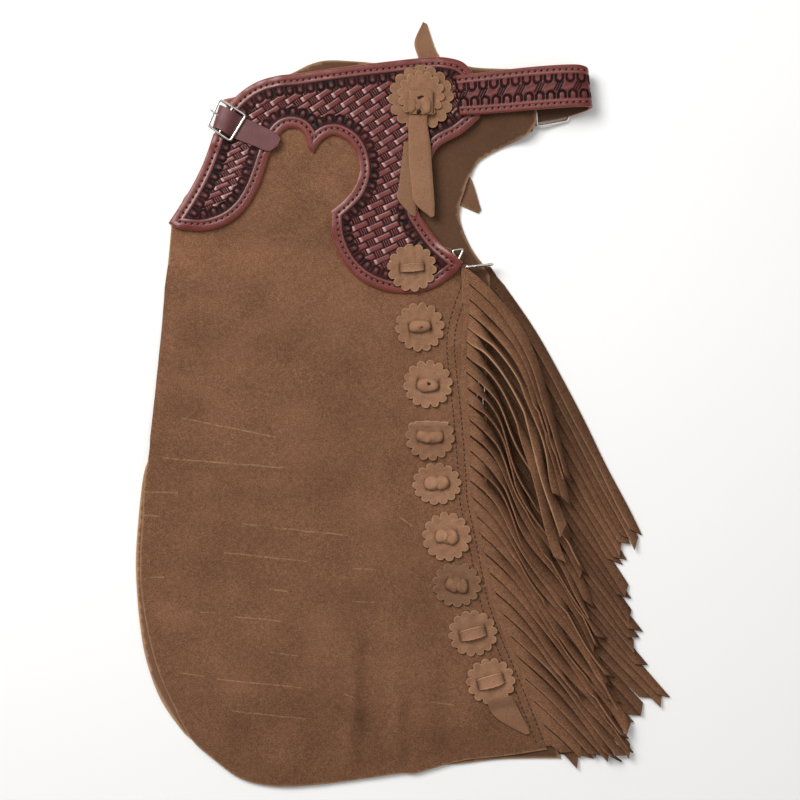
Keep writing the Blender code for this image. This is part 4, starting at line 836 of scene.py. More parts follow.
# How far a scratch wavers either way, in millimetres.
SCRATCH_WOBBLE = 1.8
SEAM_LINE_APART = 7.5
SEAM_PITCH = 5.2
STAMP_RADIUS = 3.6
STAMP_DEEP = 4.2
BELT_STITCH_INSET = 5.0
BELT_STAMP_INSET = 9.2
# A sheet with fewer points than this is too coarse for the stamps.
FEWEST_TOOLED = 12000


def crease_marks(places, rows, seed):
    """How far soft creases sink below zero and ridges rise above it, uneven along their length."""
    marks = np.zeros(len(places))
    uneven = 0.75 + 0.35 * unevenness(places, 60, seed)
    wander = 3.0 * unevenness(places, 45, seed + 1)
    for a1, d1, a2, d2, spread, rise in rows:
        start = np.array(board(a1, d1))
        along = np.array(board(a2, d2)) - start
        share = np.clip((places - start) @ along / (along @ along), 0, 1)
        offset = places - start - share[:, None] * along
        away = np.linalg.norm(offset, axis=1) + wander * 0.5
        fade = np.clip(1.15 - np.abs(2 * share - 1) ** 3, 0, 1)
        marks += rise * uneven * fade * np.exp(-(away / spread) ** 2)
    return marks


def creases_at(places, rows, seed):
    """The height of the creases and ridges and of the waves that the leather lies in."""
    waves = 0.5 * unevenness(places, 90, seed) + 0.16 * unevenness(places, 28, seed + 1)
    return waves + CREASE_HEIGHT * crease_marks(places, rows, seed + 2)


def inward_of(outline):
    """The way into an outline at each of its points."""
    along = np.roll(outline, -1, axis=0) - np.roll(outline, 1, axis=0)
    along /= np.maximum(np.linalg.norm(along, axis=1), 1e-6)[:, None]
    area = np.sum(outline[:, 0] * np.roll(outline[:, 1], -1) - np.roll(outline[:, 0], -1) * outline[:, 1])
    side = 1.0 if area > 0 else -1.0
    return np.stack([-along[:, 1], along[:, 0]], axis=1) * side


def inset_line(outline, depth):
    """The line that runs so far inside an outline, with the way in at each point."""
    inward = inward_of(outline)
    moved = outline + inward * depth
    _, away = nearest(tree_of(outline), moved)
    keep = inside(outline, moved) & (away > depth - 0.3)
    return moved[keep], inward[keep]


def spaced_along(line, inward, pitch, closed=True):
    """Places one pitch apart along a line, their headings and the ways in."""
    if closed:
        line = np.vstack([line, line[:1]])
        inward = np.vstack([inward, inward[:1]])
    measure = np.concatenate([[0], np.cumsum(np.linalg.norm(np.diff(line, axis=0), axis=1))])
    count = max(2, round(measure[-1] / pitch))
    spots = (np.arange(count) + 0.5) * measure[-1] / count

    def at(values, spots):
        return np.stack([np.interp(spots, measure, values[:, axis]) for axis in (0, 1)], axis=1)

    places = at(line, spots)
    ways_in = at(inward, spots)
    ways_in /= np.maximum(np.linalg.norm(ways_in, axis=1), 1e-6)[:, None]
    headings = np.stack([ways_in[:, 1], -ways_in[:, 0]], axis=1)
    return places, headings, ways_in


def smooth_step(low, high, values):
    share = np.clip((values - low) / (high - low), 0, 1)
    return share * share * (3 - 2 * share)


def half_moon(beside, deep):
    """How far a border stamp is pressed in, and how its dome stands out, round its middle."""
    ring = np.where(deep < 0, np.abs(np.abs(beside) - STAMP_RADIUS),
                    np.abs(np.hypot(beside, deep) - STAMP_RADIUS))
    pressed = 1 - smooth_step(0.7, 1.5, ring)
    pressed = np.where(deep < -STAMP_DEEP, 0, pressed)
    dome = 1 - smooth_step(0.5, 2.2, np.hypot(beside, deep * 0.7))
    return pressed, dome


def weave_relief(places, sizes):
    """The height of the basket weave from 0 to 1, and its tone."""
    down = BOARD_MIDDLE_DOWN - places[:, 1]
    turn = np.radians(33 - 9 * smooth_step(95, 230, down))
    offset = places - np.array(board(400, 190))
    along = offset[:, 0] * np.cos(turn) + offset[:, 1] * np.sin(turn)
    across = offset[:, 1] * np.cos(turn) - offset[:, 0] * np.sin(turn)
    row = np.floor(across / (sizes.weave_row / MM))
    row_share = across / (sizes.weave_row / MM) - row
    length = sizes.weave_length / MM
    share = ((along + 0.545 * length * row) / length) % 1.0
    off_middle = np.abs(2 * row_share - 1)
    bar_share = share / 0.74
    ends = smooth_step(0, 0.07, bar_share) * (1 - smooth_step(0.9, 1.0, bar_share))
    bar = (1 - smooth_step(0.66, 0.95, off_middle)) * ends
    bar_round = 0.75 + 0.25 * (1 - off_middle ** 2)
    bead = np.exp(-((bar_share - 0.12) / 0.09) ** 2)
    bar_height = bar * (bar_round + 0.2 * bead)
    # The bead at a bar's end and the ridges of the cross lines are painted lighter, as rubbed leather and as
    # painted highlight.
    bar_tone = 0.05 + bar * (0.5 + 0.42 * bead)
    cross_share = (share - 0.74) / 0.26
    ridge = 0.5 + 0.5 * np.cos(math.tau * (3 * cross_share - 0.5))
    cross_height = 0.15 + 0.55 * ridge
    cross_tone = 0.08 + 0.62 * ridge ** 1.5
    is_bar = share < 0.74
    return np.where(is_bar, bar_height, cross_height), np.where(is_bar, bar_tone, cross_tone)


class YokeTooling:
    """The stamped pattern of a yoke, worked out from its outline."""

    def __init__(self, outline, sizes):
        self.sizes = sizes
        self.outline_tree = tree_of(outline)
        line, inward = inset_line(outline, sizes.stitch_inset / MM)
        self.holes, self.hole_headings, _ = spaced_along(line, inward, sizes.stitch_pitch / MM)
        line, inward = inset_line(outline, sizes.border_inset / MM + STAMP_DEEP + 0.8)
        self.stamps = spaced_along(line, inward, sizes.border_pitch / MM)
        self.found = {}

    def measure(self, places):
        """The relief in millimetres and the tone at each place, worked out once."""
        key = (len(places), float(places[0][0]), float(places[-1][1]))
        if key not in self.found:
            self.found[key] = self.work_out(places)
        return self.found[key]

    def work_out(self, places):
        sizes = self.sizes
        depth = sizes.depth / MM
        border = sizes.border_inset / MM
        _, away = nearest(self.outline_tree, places)
        relief = -0.5 * np.clip(1 - away / 1.6, 0, 1) ** 2
        relief += 0.25 * np.exp(-((away - 3.6) / 2.2) ** 2) + 0.2 * np.exp(-((away - 9.6) / 1.4) ** 2)
        # The raised ridge inside the border is painted lighter, as rubbed leather and as painted highlight.
        tone = np.full(len(places), 0.55) + 0.12 * np.exp(-((away - 9.6) / 1.5) ** 2)
        stitch = np.exp(-((away - sizes.stitch_inset / MM) / 0.9) ** 2)
        line = np.exp(-((away - border) / 0.75) ** 2)
        relief -= 0.35 * stitch + 0.7 * depth * line
        tone -= 0.14 * stitch + 0.5 * line
        _, from_hole = nearest(tree_of(self.holes), places)
        hole = 1 - smooth_step(0.45, 1.05, from_hole)
        relief -= 0.9 * hole
        tone -= 0.6 * hole
        centres, headings, ways_in = self.stamps
        index, _ = nearest(tree_of(centres), places)
        offset = places - centres[index]
        beside = (offset * headings[index]).sum(axis=1)
        deep = (offset * ways_in[index]).sum(axis=1)
        pressed, dome = half_moon(beside, deep)
        weave, weave_tone = weave_relief(places, sizes)
        within = smooth_step(border + 7.6, border + 8.6, away)
        bar_zone = smooth_step(border, border + 0.8, away)
        stamp_height = -depth * (0.35 + 0.65 * pressed - 0.25 * dome)
        # A half moon's dome is painted lighter, as rubbed leather and as painted highlight, and its pressed
        # ring dark with dye.
        stamp_tone = 0.3 - 0.28 * pressed + 0.2 * dome
        clear = 1 - pressed * (1 - smooth_step(border + 8.6, border + 9.8, away))
        inner_height = stamp_height * (1 - within * clear) + depth * (weave - 1) * within * clear
        inner_tone = stamp_tone * (1 - within * clear) + weave_tone * within * clear
        relief = relief * (1 - bar_zone) + inner_height * bar_zone
        tone = tone * (1 - bar_zone) + inner_tone * bar_zone
        return relief, np.clip(tone, 0, 1)


def capsules(piece, places, headings, heights, length, radius):
    """Add short round stitches, each sunk a little at both ends."""
    for place, heading, height in zip(places, headings, heights):
        side = np.array([-heading[1], heading[0]])
        rings = []
        for along, wide, drop in ((-0.5, 0.45, 0.9), (-0.3, 0.95, 0.1), (0.3, 0.95, 0.1), (0.5, 0.45, 0.9)):
            ring = []
            for corner in range(6):
                angle = math.tau * corner / 6
                spot = place + heading * along * length + side * math.cos(angle) * radius * wide
                ring.append((*spot, height - radius * drop + math.sin(angle) * radius * wide))
            rings.append(ring)
        start = piece.add_points([point for ring in rings for point in ring])
        piece.join_rings(start, 6, 4)
        piece.faces.append([start + corner for corner in range(5, -1, -1)])
        piece.faces.append([start + 18 + corner for corner in range(6)])


# Columns: number of a strand from the top, how much steeper it hangs where it sags, in degrees.
NEAR_SAGS = ((0, 0), (3, 1), (4, 5), (5, 11), (6, 17), (7, 21), (8, 23), (10, 21), (14, 13), (20, 6),
             (26, 0))
FAR_SAGS = ((0, 0), (26, 0))
# Columns: number of a strand from the top, how much it turns onto its edge near its root.
NEAR_ROLLS = ((0, 0.1), (2, 0.3), (3, 0.6), (4, 0.9), (8, 0.9), (11, 0.5), (16, 0.2), (20, 0.3), (26, 0.1))
FAR_ROLLS = ((0, 0.0), (4, 0.25), (26, 0.3))

# What a fringe is cut from and how it falls: its tones at the roots and the tips (the far fringe's dark roots
# are painted shade under the near fringe), where along a strand it comes loose and rolls as it likes, how far
# it wanders from its heading in degrees, how the strip tucks in above the first strand, how much broader a
# strand has spread, and the seed.
Fringe = namedtuple("Fringe", "line fan lengths layers sags rolls tones loose wander tuck spread seed")
NEAR_FRINGE = Fringe(NEAR_ROOT_LINE, NEAR_FAN, NEAR_LENGTHS, NEAR_LAYERS, NEAR_SAGS, NEAR_ROLLS,
                     tones=(1.14, 1.1), loose=(0, 20), wander=6.0, tuck=(-0.6, 4.0), spread=0.6, seed=5)
FAR_FRINGE = Fringe(FAR_ROOT_LINE, FAR_FAN, FAR_LENGTHS, FAR_LAYERS, FAR_SAGS, FAR_ROLLS,
                    tones=(0.42, 1.02), loose=(110, 200), wander=1.6, tuck=(-6.0, 9.0), spread=2.2, seed=7)

# How far apart a strand's path is sampled, where it has turned, how it lies on its neighbours, the
# strip that it is cut from, and how wide a slit is.
FRINGE_SAMPLE = 2.0
FRINGE_TURN = 140.0
FRINGE_REACH = 22
FRINGE_SOFTENING = 8
FRINGE_GAP = 0.6
FRINGE_STRIP = 4.7
FAR_FRINGE_UNDER = 0.5
SLIT = 1.0


def draped(field, reach, softening):
    """The underside of soft leather that bends gently over all that lies within reach."""
    result = box_blurred(widened(field, reach + 2 * softening), softening)
    return np.where(result > 0.05, result + GAP, 0.0)


def fringe_roots(line, fan, count):
    """The two corners of each strand on the root line, so that all are cut equally wide."""
    downs = np.linspace(line[0][0], line[-1][0], 200)
    acrosses = np.interp(downs, [row[0] for row in line], [row[1] for row in line])
    share = (downs - downs[0]) / (downs[-1] - downs[0])
    angles = np.radians(np.interp(share, [row[0] for row in fan], [row[1] for row in fan]))
    breadths = np.diff(downs) * np.cos(angles[1:]) - np.diff(acrosses) * np.sin(angles[1:])
    measure = np.concatenate([[0], np.cumsum(breadths)])
    pitch = measure[-1] / count
    roots = []
    for index in range(count):
        ends = (index * pitch + SLIT / 2, (index + 1) * pitch - SLIT / 2)
        roots.append([np.array(board(np.interp(end, measure, acrosses), np.interp(end, measure, downs)))
                      for end in ends])
    return roots, pitch - SLIT


def fringe_strands(fan, lengths, width):
    """The strands of a fringe, from the top."""
    strands = []
    for index, length in enumerate(lengths):
        share = index / (len(lengths) - 1)
        start, finish = (float(np.interp(share, [row[0] for row in fan], [row[column] for row in fan]))
                         for column in (1, 2))
        strands.append(Strand(length, start, finish, width, TIP_SLANTS[index % len(TIP_SLANTS)]))
    return strands


def strand_path(strand, start, sag, wander, chance):
    """Evenly spaced places and headings along a strand, which turns, sags and wanders."""
    count = max(2, round(strand.length / FRINGE_SAMPLE))
    along = np.linspace(0, strand.length, count + 1)
    share = np.clip(along / FRINGE_TURN, 0, 1)
    turned = share * share * (3 - 2 * share)
    pitch = chance.uniform(110, 190)
    wave = wander * np.sin(math.tau * along / pitch + chance.uniform(0, math.tau)) * share
    dip = sag * (np.exp(-((along - 68) / 34) ** 2) - 0.35 * np.exp(-((along - 150) / 34) ** 2))
    angles = np.radians(strand.start + (strand.finish - strand.start) * turned + wave + dip)
    headings = np.stack([np.cos(angles), -np.sin(angles)], axis=1)
    steps = headings[:-1] * (strand.length / count)
    places = np.vstack([start, start + np.cumsum(steps, axis=0)])
    return places, headings


def strand_rises(paths, strands, layer, leather, rolls):
    """How far each strand's lower edge is lifted, so that it rolls as it likes and lies on, or
    beside, the strands below it."""
    rises = {}
    for order in reversed(range(*layer)):
        places = paths[order][0]
        width = strands[order].width
        neighbours = []
        for lower in range(order + 1, min(order + 6, layer[1])):
            away = np.linalg.norm(places[:, None] - paths[lower][0][None], axis=2)
            closest = away.argmin(axis=1)
            lower_rise = rises[lower][closest]
            lower_breadth = np.sqrt(strands[lower].width ** 2 - lower_rise ** 2)
            neighbours.append((away.min(axis=1), lower_rise, lower_breadth))
        wanted = np.clip(rolls[order], 0, 0.94) * width
        rise = np.full(len(places), 0.96 * width)
        settled = np.zeros(len(places), dtype=bool)
        for share in np.linspace(0, 1, 25):
            tried = wanted + (0.96 * width - wanted) * share
            breadth = np.sqrt(width ** 2 - tried ** 2)
            free = np.ones(len(places), dtype=bool)
            for apart, lower_rise, lower_breadth in neighbours:
                left = apart - lower_breadth / 2
                overlap = breadth / 2 - left
                clear = (leather + FRINGE_GAP) * np.sqrt(1 + (lower_rise / lower_breadth) ** 2)
                over_left = tried * (left / breadth + 0.5) >= clear
                over_right = tried >= lower_rise * np.minimum(overlap / lower_breadth, 1) + clear
                free &= (overlap <= 0) | (over_left & over_right)
            rise = np.where(free & ~settled, tried, rise)
            settled |= free
        rises[order] = rise
    return rises


def eased(values, reach):
    """The highest value within reach of each, then their mean."""
    padded = np.pad(values, reach, mode="edge")
    high = np.max([padded[shift:shift + len(values)] for shift in range(2 * reach + 1)], axis=0)
    padded = np.pad(high, reach, mode="edge")
    return np.mean([padded[shift:shift + len(values)] for shift in range(2 * reach + 1)], axis=0)


def strand_edges(strand, path, rise, root, field, floor, section, leather, chance):
    """The two edges in space of one strand, from its root to its slanted tip."""
    places, headings = path
    count = len(places) - 1
    lift = eased(rise, 2)
    levels = np.maximum(read(field, np.array(root)), floor)
    edges = [((*root[0], levels[0] + leather / 2), (*root[1], levels[1] + leather / 2))]
    parts = max(3, round(strand.length / section))
    narrow = chance.uniform(0.05, 0.3)
    pitch = chance.uniform(70, 140)
    start = chance.uniform(0, math.tau)
    leans = []
    for part in range(parts + 1):
        pinch = 1 - narrow * (0.5 + 0.5 * math.sin(math.tau * part * section / pitch + start)) * part / parts
        ends = []
        for side in (1, -1):
            # The tip is cut on the slant, so one edge is shorter.
            shrink = 1 - max(0.0, -side * strand.slant) / strand.length
            index = round(part * count / parts * shrink)
            lean = min(float(lift[index]), 0.96 * strand.width)
            half_width = math.sqrt(strand.width ** 2 - lean ** 2) / 2 * pinch
            aside = np.array([-headings[index][1], headings[index][0]])
            ends.append(places[index] + side * half_width * aside)
        leans.append(lean / strand.width)
        if part:
            high, low = np.maximum(read(field, np.array(ends)), floor)
            edges.append(((*ends[0], high + leather / 2), (*ends[1], low + lean + leather / 2)))
    return edges, np.array(leans)


def table_at(rows, spot):
    """The second column of a table, read at a spot of its first column."""
    return float(np.interp(spot, [row[0] for row in rows], [row[1] for row in rows]))


def cut_fringe(piece, fringe, field, under, floor, sizes, strip_levels):
    """Add the strip along the cloth's edge, and the strands cut from it, layer by layer."""
    leather = sizes.leather / MM
    tones = fringe.tones
    count = len(fringe.lengths)
    chance = np.random.default_rng(fringe.seed)
    roots, width = fringe_roots(fringe.line, fringe.fan, count)
    strands = fringe_strands(fringe.fan, fringe.lengths, width + fringe.spread)
    sag_at = [table_at(fringe.sags, order) for order in range(count)]
    wander_at = [fringe.wander * min(1.0, order / 4, (count - 1 - order) / 4) for order in range(count)]
    paths = [strand_path(strand, (root[0] + root[1]) / 2, sag_at[order], wander_at[order], chance)
             for order, (strand, root) in enumerate(zip(strands, roots))]
    rolls = []
    for order, (places, _) in enumerate(paths):
        along = np.arange(len(places)) * FRINGE_SAMPLE
        roll = table_at(fringe.rolls, order)
        own = chance.uniform(0.05, 0.45) + 0.34 * np.sin(along / chance.uniform(14, 30)
                                                         + chance.uniform(0, math.tau))
        own = own * (0.35 + 0.65 * min(1.0, roll / 0.5)) * smooth_step(*fringe.loose, along)
        roll = roll * np.exp(-((along - 62) / 75) ** 2) + own
        rolls.append(np.clip(roll, 0, 0.94) * smooth_step(3, 26, along))
    corners = [place for root in roots for place in root]
    strip = []
    for place in corners:
        level = max(float(read(field, [place])[0]), floor) + leather / 2
        back_level = max(strip_levels(place), level)
        back = place - np.array([FRINGE_STRIP + 2.4, 0.0])
        strip.append(((*back, back_level), (*(place + np.array([0.3, 0])), level)))
    top = strip[0]
    tuck_across, tuck_up = fringe.tuck
    strip.insert(0, tuple((across + tuck_across, up + tuck_up, level) for across, up, level in top))
    # The strip takes the root tone, which for the far fringe is painted shade.
    band(piece, strip, leather, 6, tone=tones[0])
    for layer in fringe.layers:
        rises = strand_rises(paths, strands, layer, leather, rolls)
        first_face = len(piece.faces)
        for order in range(*layer):
            edges, leans = strand_edges(strands[order], paths[order], rises[order], roots[order], field,
                                        floor, sizes.section / MM, leather, chance)
            tone = np.linspace(tones[0], tones[1] * chance.uniform(0.88, 1.12), len(edges))
            # Painted light and shade: a strand's lifted lower edge is painted lighter, and its upper edge
            # darker as painted shadow under the strand that lies over it, the more so the more it is lifted.
            tone *= 1 + (chance.uniform(0.86, 1.1) - 1) * smooth_step(0, 5, np.arange(len(edges)))
            deep = smooth_step(0.5, 5, np.arange(len(edges))) * np.clip(leans * 1.5, 0.1, 1.0)
            band(piece, edges, leather, 4, crown=sizes.curl / MM * chance.uniform(-0.6, 1.2),
                 tone=tone * (1 - 0.75 * deep), second_tone=tone * (1 + 0.14 * deep),
                 rawness=chance.uniform(0.15, 0.75))
        cover(under, np.array(piece.points), piece.faces[first_face:])
        field = draped(under, FRINGE_REACH, FRINGE_SOFTENING)


def set_inputs(tree, node, inputs):
    """Give each input of a node a value, or link it from an output."""
    for key, value in inputs.items():
        if isinstance(value, bpy.types.NodeSocket):
            tree.links.new(value, node.inputs[key])
        else:
            node.inputs[key].default_value = value


def put(tree, kind, inputs, **settings):
    """Add a shader node of a kind, with its settings and inputs."""
    node = tree.nodes.new("ShaderNode" + kind)
    for name, value in settings.items():
        setattr(node, name, value)
    set_inputs(tree, node, inputs)
    return node


def opaque(colour):
    """A colour with its opacity, or an output that gives a colour, as it is."""
    return colour if isinstance(colour, bpy.types.NodeSocket) else (*colour, 1.0)


def blended(tree, factor, first, second):
    """The output of a mix of two colours."""
    return put(tree, "Mix", {0: factor, 6: opaque(first), 7: opaque(second)}, data_type="RGBA").outputs[2]


def ramp(tree, factor, stops):
    """The colour output of a ramp through stops of place and colour."""
    node = put(tree, "ValToRGB", {0: factor})
    elements = node.color_ramp.elements
    while len(elements) > 1:
        elements.remove(elements[-1])
    elements[0].position, elements[0].color = stops[0][0], opaque(stops[0][1])
    for place, colour in stops[1:]:
        elements.new(place).color = opaque(colour)
    return node.outputs[0]


def ranged(tree, value, low, high, to_low=0.0, to_high=1.0):
    """The output of a value carried over from one range to another."""
    return put(tree, "MapRange", {0: value, 1: low, 2: high, 3: to_low, 4: to_high}).outputs[0]


def noise(tree, place, scale, detail, **more):
    """The value of a noise with about so many crests to the metre."""
    return put(tree, "TexNoise", {"Vector": place, "Scale": scale, "Detail": detail, **more}).outputs[0]


def reckoned(tree, operation, inputs, kind="VectorMath", output=0):
    """The output of an operation on vectors, or on numbers if its kind is Math."""
    return put(tree, kind, inputs, operation=operation).outputs[output]


def bumped(tree, height, distance, strength, **more):
    """The normal of a surface that a value raises so far."""
    inputs = {"Height": height, "Distance": distance, "Strength": strength, **more}
    return put(tree, "Bump", inputs).outputs[0]


def mark_of(tree, name):
    return put(tree, "Attribute", {}, attribute_name=name).outputs["Fac"]


def new_material(name):
    """A new material with its tree, its shader and the place on the chaps, in metres."""
    material = bpy.data.materials.new(name)
    material.use_nodes = True
    tree = material.node_tree
    return material, tree, tree.nodes["Principled BSDF"], put(tree, "TexCoord", {}).outputs["Object"]


def scratch_group():
    """How strongly a place lies on a fine scratch between two ends."""
    group = bpy.data.node_groups.new("scratch", "ShaderNodeTree")
    for name, kind in (("Place", "NodeSocketVector"), ("Start", "NodeSocketVector"),
                       ("Along", "NodeSocketVector"), ("Length", "NodeSocketFloat"),
                       ("Breadth", "NodeSocketFloat"), ("Before", "NodeSocketFloat")):
        group.interface.new_socket(name, in_out="INPUT", socket_type=kind)
    group.interface.new_socket("Mark", in_out="OUTPUT", socket_type="NodeSocketFloat")
    given = group.nodes.new("NodeGroupInput")
    place, start, along, length, breadth, before = given.outputs[:6]
    offset = reckoned(group, "SUBTRACT", {0: place, 1: start})
    far = reckoned(group, "DOT_PRODUCT", {0: offset, 1: along}, output="Value")
    past_start = reckoned(group, "MAXIMUM", {0: far, 1: 0.0}, "Math")
    held = reckoned(group, "MINIMUM", {0: past_start, 1: length}, "Math")
    foot = reckoned(group, "SCALE", {0: along, "Scale": held})
    away = reckoned(group, "LENGTH", {0: reckoned(group, "SUBTRACT", {0: offset, 1: foot})}, output="Value")
    share = reckoned(group, "DIVIDE", {0: away, 1: breadth}, "Math")
    best = reckoned(group, "MAXIMUM", {0: ranged(group, share, 1.0, 0.35), 1: before}, "Math")
    result = group.nodes.new("NodeGroupOutput")
    group.links.new(best, result.inputs["Mark"])
    return group


def flattened(tree, place):
    """A place with its height taken off."""
    return reckoned(tree, "MULTIPLY", {0: place, 1: (1.0, 1.0, 0.0)})


def scratched(tree, place):
    """The mark left by all the scratches of the upper leg, broken up as a nap breaks a scratch up."""
    group = scratch_group()
    wobble = put(tree, "TexNoise", {"Vector": place, "Scale": 55.0, "Detail": 2.0}).outputs["Color"]
    shift = reckoned(tree, "SUBTRACT", {0: wobble, 1: (0.5, 0.5, 0.5)})
    moved = reckoned(tree, "SCALE", {0: shift, "Scale": SCRATCH_WOBBLE * MM})
    spot = flattened(tree, reckoned(tree, "ADD", {0: flattened(tree, place), 1: moved}))
    mark = 0.0
    for a1, d1, a2, d2, breadth in SCRATCHES:
        start = Vector((*board(a1, d1), 0)) * MM
        end = Vector((*board(a2, d2), 0)) * MM
        inputs = {"Place": spot, "Start": start, "Along": (end - start).normalized(),
                  "Length": (end - start).length, "Breadth": breadth * MM, "Before": mark}
        mark = put(tree, "Group", inputs, node_tree=group).outputs["Mark"]
    broken = ranged(tree, noise(tree, place, 260.0, 2.0), 0.25, 0.6)
    return reckoned(tree, "MULTIPLY", {0: mark, 1: broken}, "Math")


def suede(name, main, shade, glow, raw, scratches=False, nap=1.0):
    """Suede: split hide with its nap raised. Matt, soft, mottled where the nap lies this way and
    that, with a pale cut edge."""
    material, tree, shader, place = new_material(name)
    # Brush marks in the nap are 40 to 70 mm long, its tufts about 4 mm and its fibres about 1 mm,
    # which is coarser than the real 0.3 mm so that they show.
    brushed = noise(tree, place, 17.0, 4.0, Roughness=0.55, Distortion=0.6)
    tufts = noise(tree, place, 210.0, 4.0, Roughness=0.65)
    fibres = noise(tree, place, 800.0, 3.0)
    colour = blended(tree, ranged(tree, brushed, 0.3, 0.72, 0.0, 0.55 * nap), main, shade)
    colour = blended(tree, ranged(tree, tufts, 0.42, 0.75, 0.0, 0.4 * nap), colour, glow)
    colour = blended(tree, ranged(tree, fibres, 0.47, 0.3, 0.0, 0.7 * nap), colour, shade)
    colour = blended(tree, ranged(tree, fibres, 0.53, 0.7, 0.0, 0.6 * nap), colour, glow)
    if scratches:
        colour = blended(tree, ranged(tree, scratched(tree, place), 0.0, 1.0, 0.0, 0.42), colour, raw)
    colour = blended(tree, ranged(tree, mark_of(tree, "edge"), 0.3, 1.0, 0.0, 0.85), colour, raw)
    tone = put(tree, "CombineColor", {index: mark_of(tree, "tone") for index in range(3)}).outputs[0]
    toned = put(tree, "Mix", {0: 1.0, 6: colour, 7: tone}, data_type="RGBA", blend_type="MULTIPLY")
    bump = bumped(tree, tufts, 0.0006, 0.5)
    set_inputs(tree, shader, {
        "Base Color": toned.outputs[2], "Roughness": 0.96, "Specular IOR Level": 0.05, "Sheen Weight": 0.1,
        "Sheen Roughness": 0.5, "Sheen Tint": opaque(glow),
        "Normal": bumped(tree, fibres, 0.0005, 0.55, Normal=bump),
    })
    return material


def tooled_leather(name, main, deep, rubbed_and_highlight, raw, flesh):
    """Vegetable-tanned hide, dyed oxblood, wetted, stamped and waxed: a soft gloss and a pale rubbed colour,
    partly painted highlight, on what stands up, dark dye in what is pressed in, a tan cut edge, and an undyed
    brown flesh side where tone is 0, in the inside colour that is darkened as painted shade."""
    material, tree, shader, place = new_material(name)
    # The grain's pores are 1 mm apart, and the dye lies unevenly over some 20 mm.
    pores = noise(tree, place, 900.0, 3.0)
    dye = noise(tree, place, 48.0, 5.0, Roughness=0.6)
    tool = mark_of(tree, "tool")
    middle = tuple((a + b) / 2 for a, b in zip(deep, main))
    # Raised places turn to the pale rubbed colour, which is partly painted highlight.
    colour = ramp(tree, tool, ((0.0, deep), (0.28, deep), (0.42, middle), (0.54, main), (0.64, main),
                               (1.0, rubbed_and_highlight)))
    colour = blended(tree, ranged(tree, dye, 0.35, 0.7, 0.0, 0.4), colour, middle)
    colour = blended(tree, ranged(tree, pores, 0.62, 0.8, 0.0, 0.35), colour, rubbed_and_highlight)
    colour = blended(tree, ranged(tree, mark_of(tree, "tone"), 0.6, 0.3), colour, flesh)
    colour = blended(tree, ranged(tree, mark_of(tree, "edge"), 0.4, 0.9, 0.0, 0.9), colour, raw)
    bump = bumped(tree, pores, 0.0003, 0.5)
    set_inputs(tree, shader, {
        "Base Color": colour,
        "Roughness": ranged(tree, tool, 0.0, 0.6, 0.7, 0.34),
        "Specular IOR Level": ranged(tree, tool, 0.1, 0.6, 0.06, 0.36),
        "Coat Weight": ranged(tree, tool, 0.4, 0.75, 0.0, 0.7),
        "Coat Roughness": 0.25,
        "Normal": bumped(tree, dye, 0.0012, 0.4, Normal=bump),
    })
    return material


def latigo(name, main, raw):
    """Latigo: oiled, drum-dyed strap leather. Smooth and waxy with a faint grain."""
    material, tree, shader, place = new_material(name)
    # Creases of the grain are about 2 mm apart, and the oil is uneven over 15 mm.
    grain = put(tree, "TexVoronoi", {"Vector": place, "Scale": 620.0}).outputs["Distance"]
    oil = noise(tree, place, 65.0, 3.0)
    darker = tuple(value * 0.62 for value in main)
    colour = blended(tree, ranged(tree, oil, 0.35, 0.7, 0.0, 0.6), main, darker)
    colour = blended(tree, ranged(tree, mark_of(tree, "edge"), 0.4, 0.95, 0.0, 0.9), colour, raw)
    set_inputs(tree, shader, {
        "Base Color": colour, "Roughness": ranged(tree, oil, 0.3, 0.7, 0.42, 0.55),
        "Specular IOR Level": 0.3, "Normal": bumped(tree, grain, 0.0003, 0.35),
    })
    return material


def nickel(name):
    """Nickel-plated steel wire: bright and slightly warm, with fine rub marks."""
    material, tree, shader, place = new_material(name)
    # Rub marks are about 3 mm apart and dull patches about 8 mm.
    rubs = noise(tree, place, 320.0, 5.0)
    dull = noise(tree, place, 120.0, 2.0)
    set_inputs(tree, shader, {
        "Base Color": blended(tree, ranged(tree, dull, 0.4, 0.75, 0.0, 0.6), linear("#E4E1DA"),
                              linear("#A9A49B")),
        "Metallic": 1.0, "Roughness": ranged(tree, rubs, 0.3, 0.75, 0.12, 0.34),
        "Normal": bumped(tree, rubs, 0.0001, 0.3),
    })
    return material


def thread(name, main, dark):
    """Waxed bonded nylon thread, twisted from three plies: a dull gloss, with painted shade between the
    plies.
    """
    material, tree, shader, place = new_material(name)
    # One ply passes every 0.8 mm.
    plies = put(tree, "TexWave", {"Vector": place, "Scale": 400.0, "Distortion": 1.5},
                bands_direction="DIAGONAL").outputs["Fac"]
    colour = blended(tree, ranged(tree, plies, 0.2, 0.8, 0.0, 0.8), main, dark)
    set_inputs(tree, shader, {"Base Color": colour, "Roughness": 0.5})
    return material


def pale_floor(name, main):
    """Painted board: matt, nearly white, with a faint unevenness."""
    material, tree, shader, place = new_material(name)
    # The paint's unevenness is some 300 mm across.
    uneven = noise(tree, place, 3.0, 2.0)
    darker = tuple(value * 0.985 for value in main)
    colour = blended(tree, ranged(tree, uneven, 0.3, 0.7), main, darker)
    set_inputs(tree, shader, {"Base Color": colour, "Roughness": 0.9})
    return material


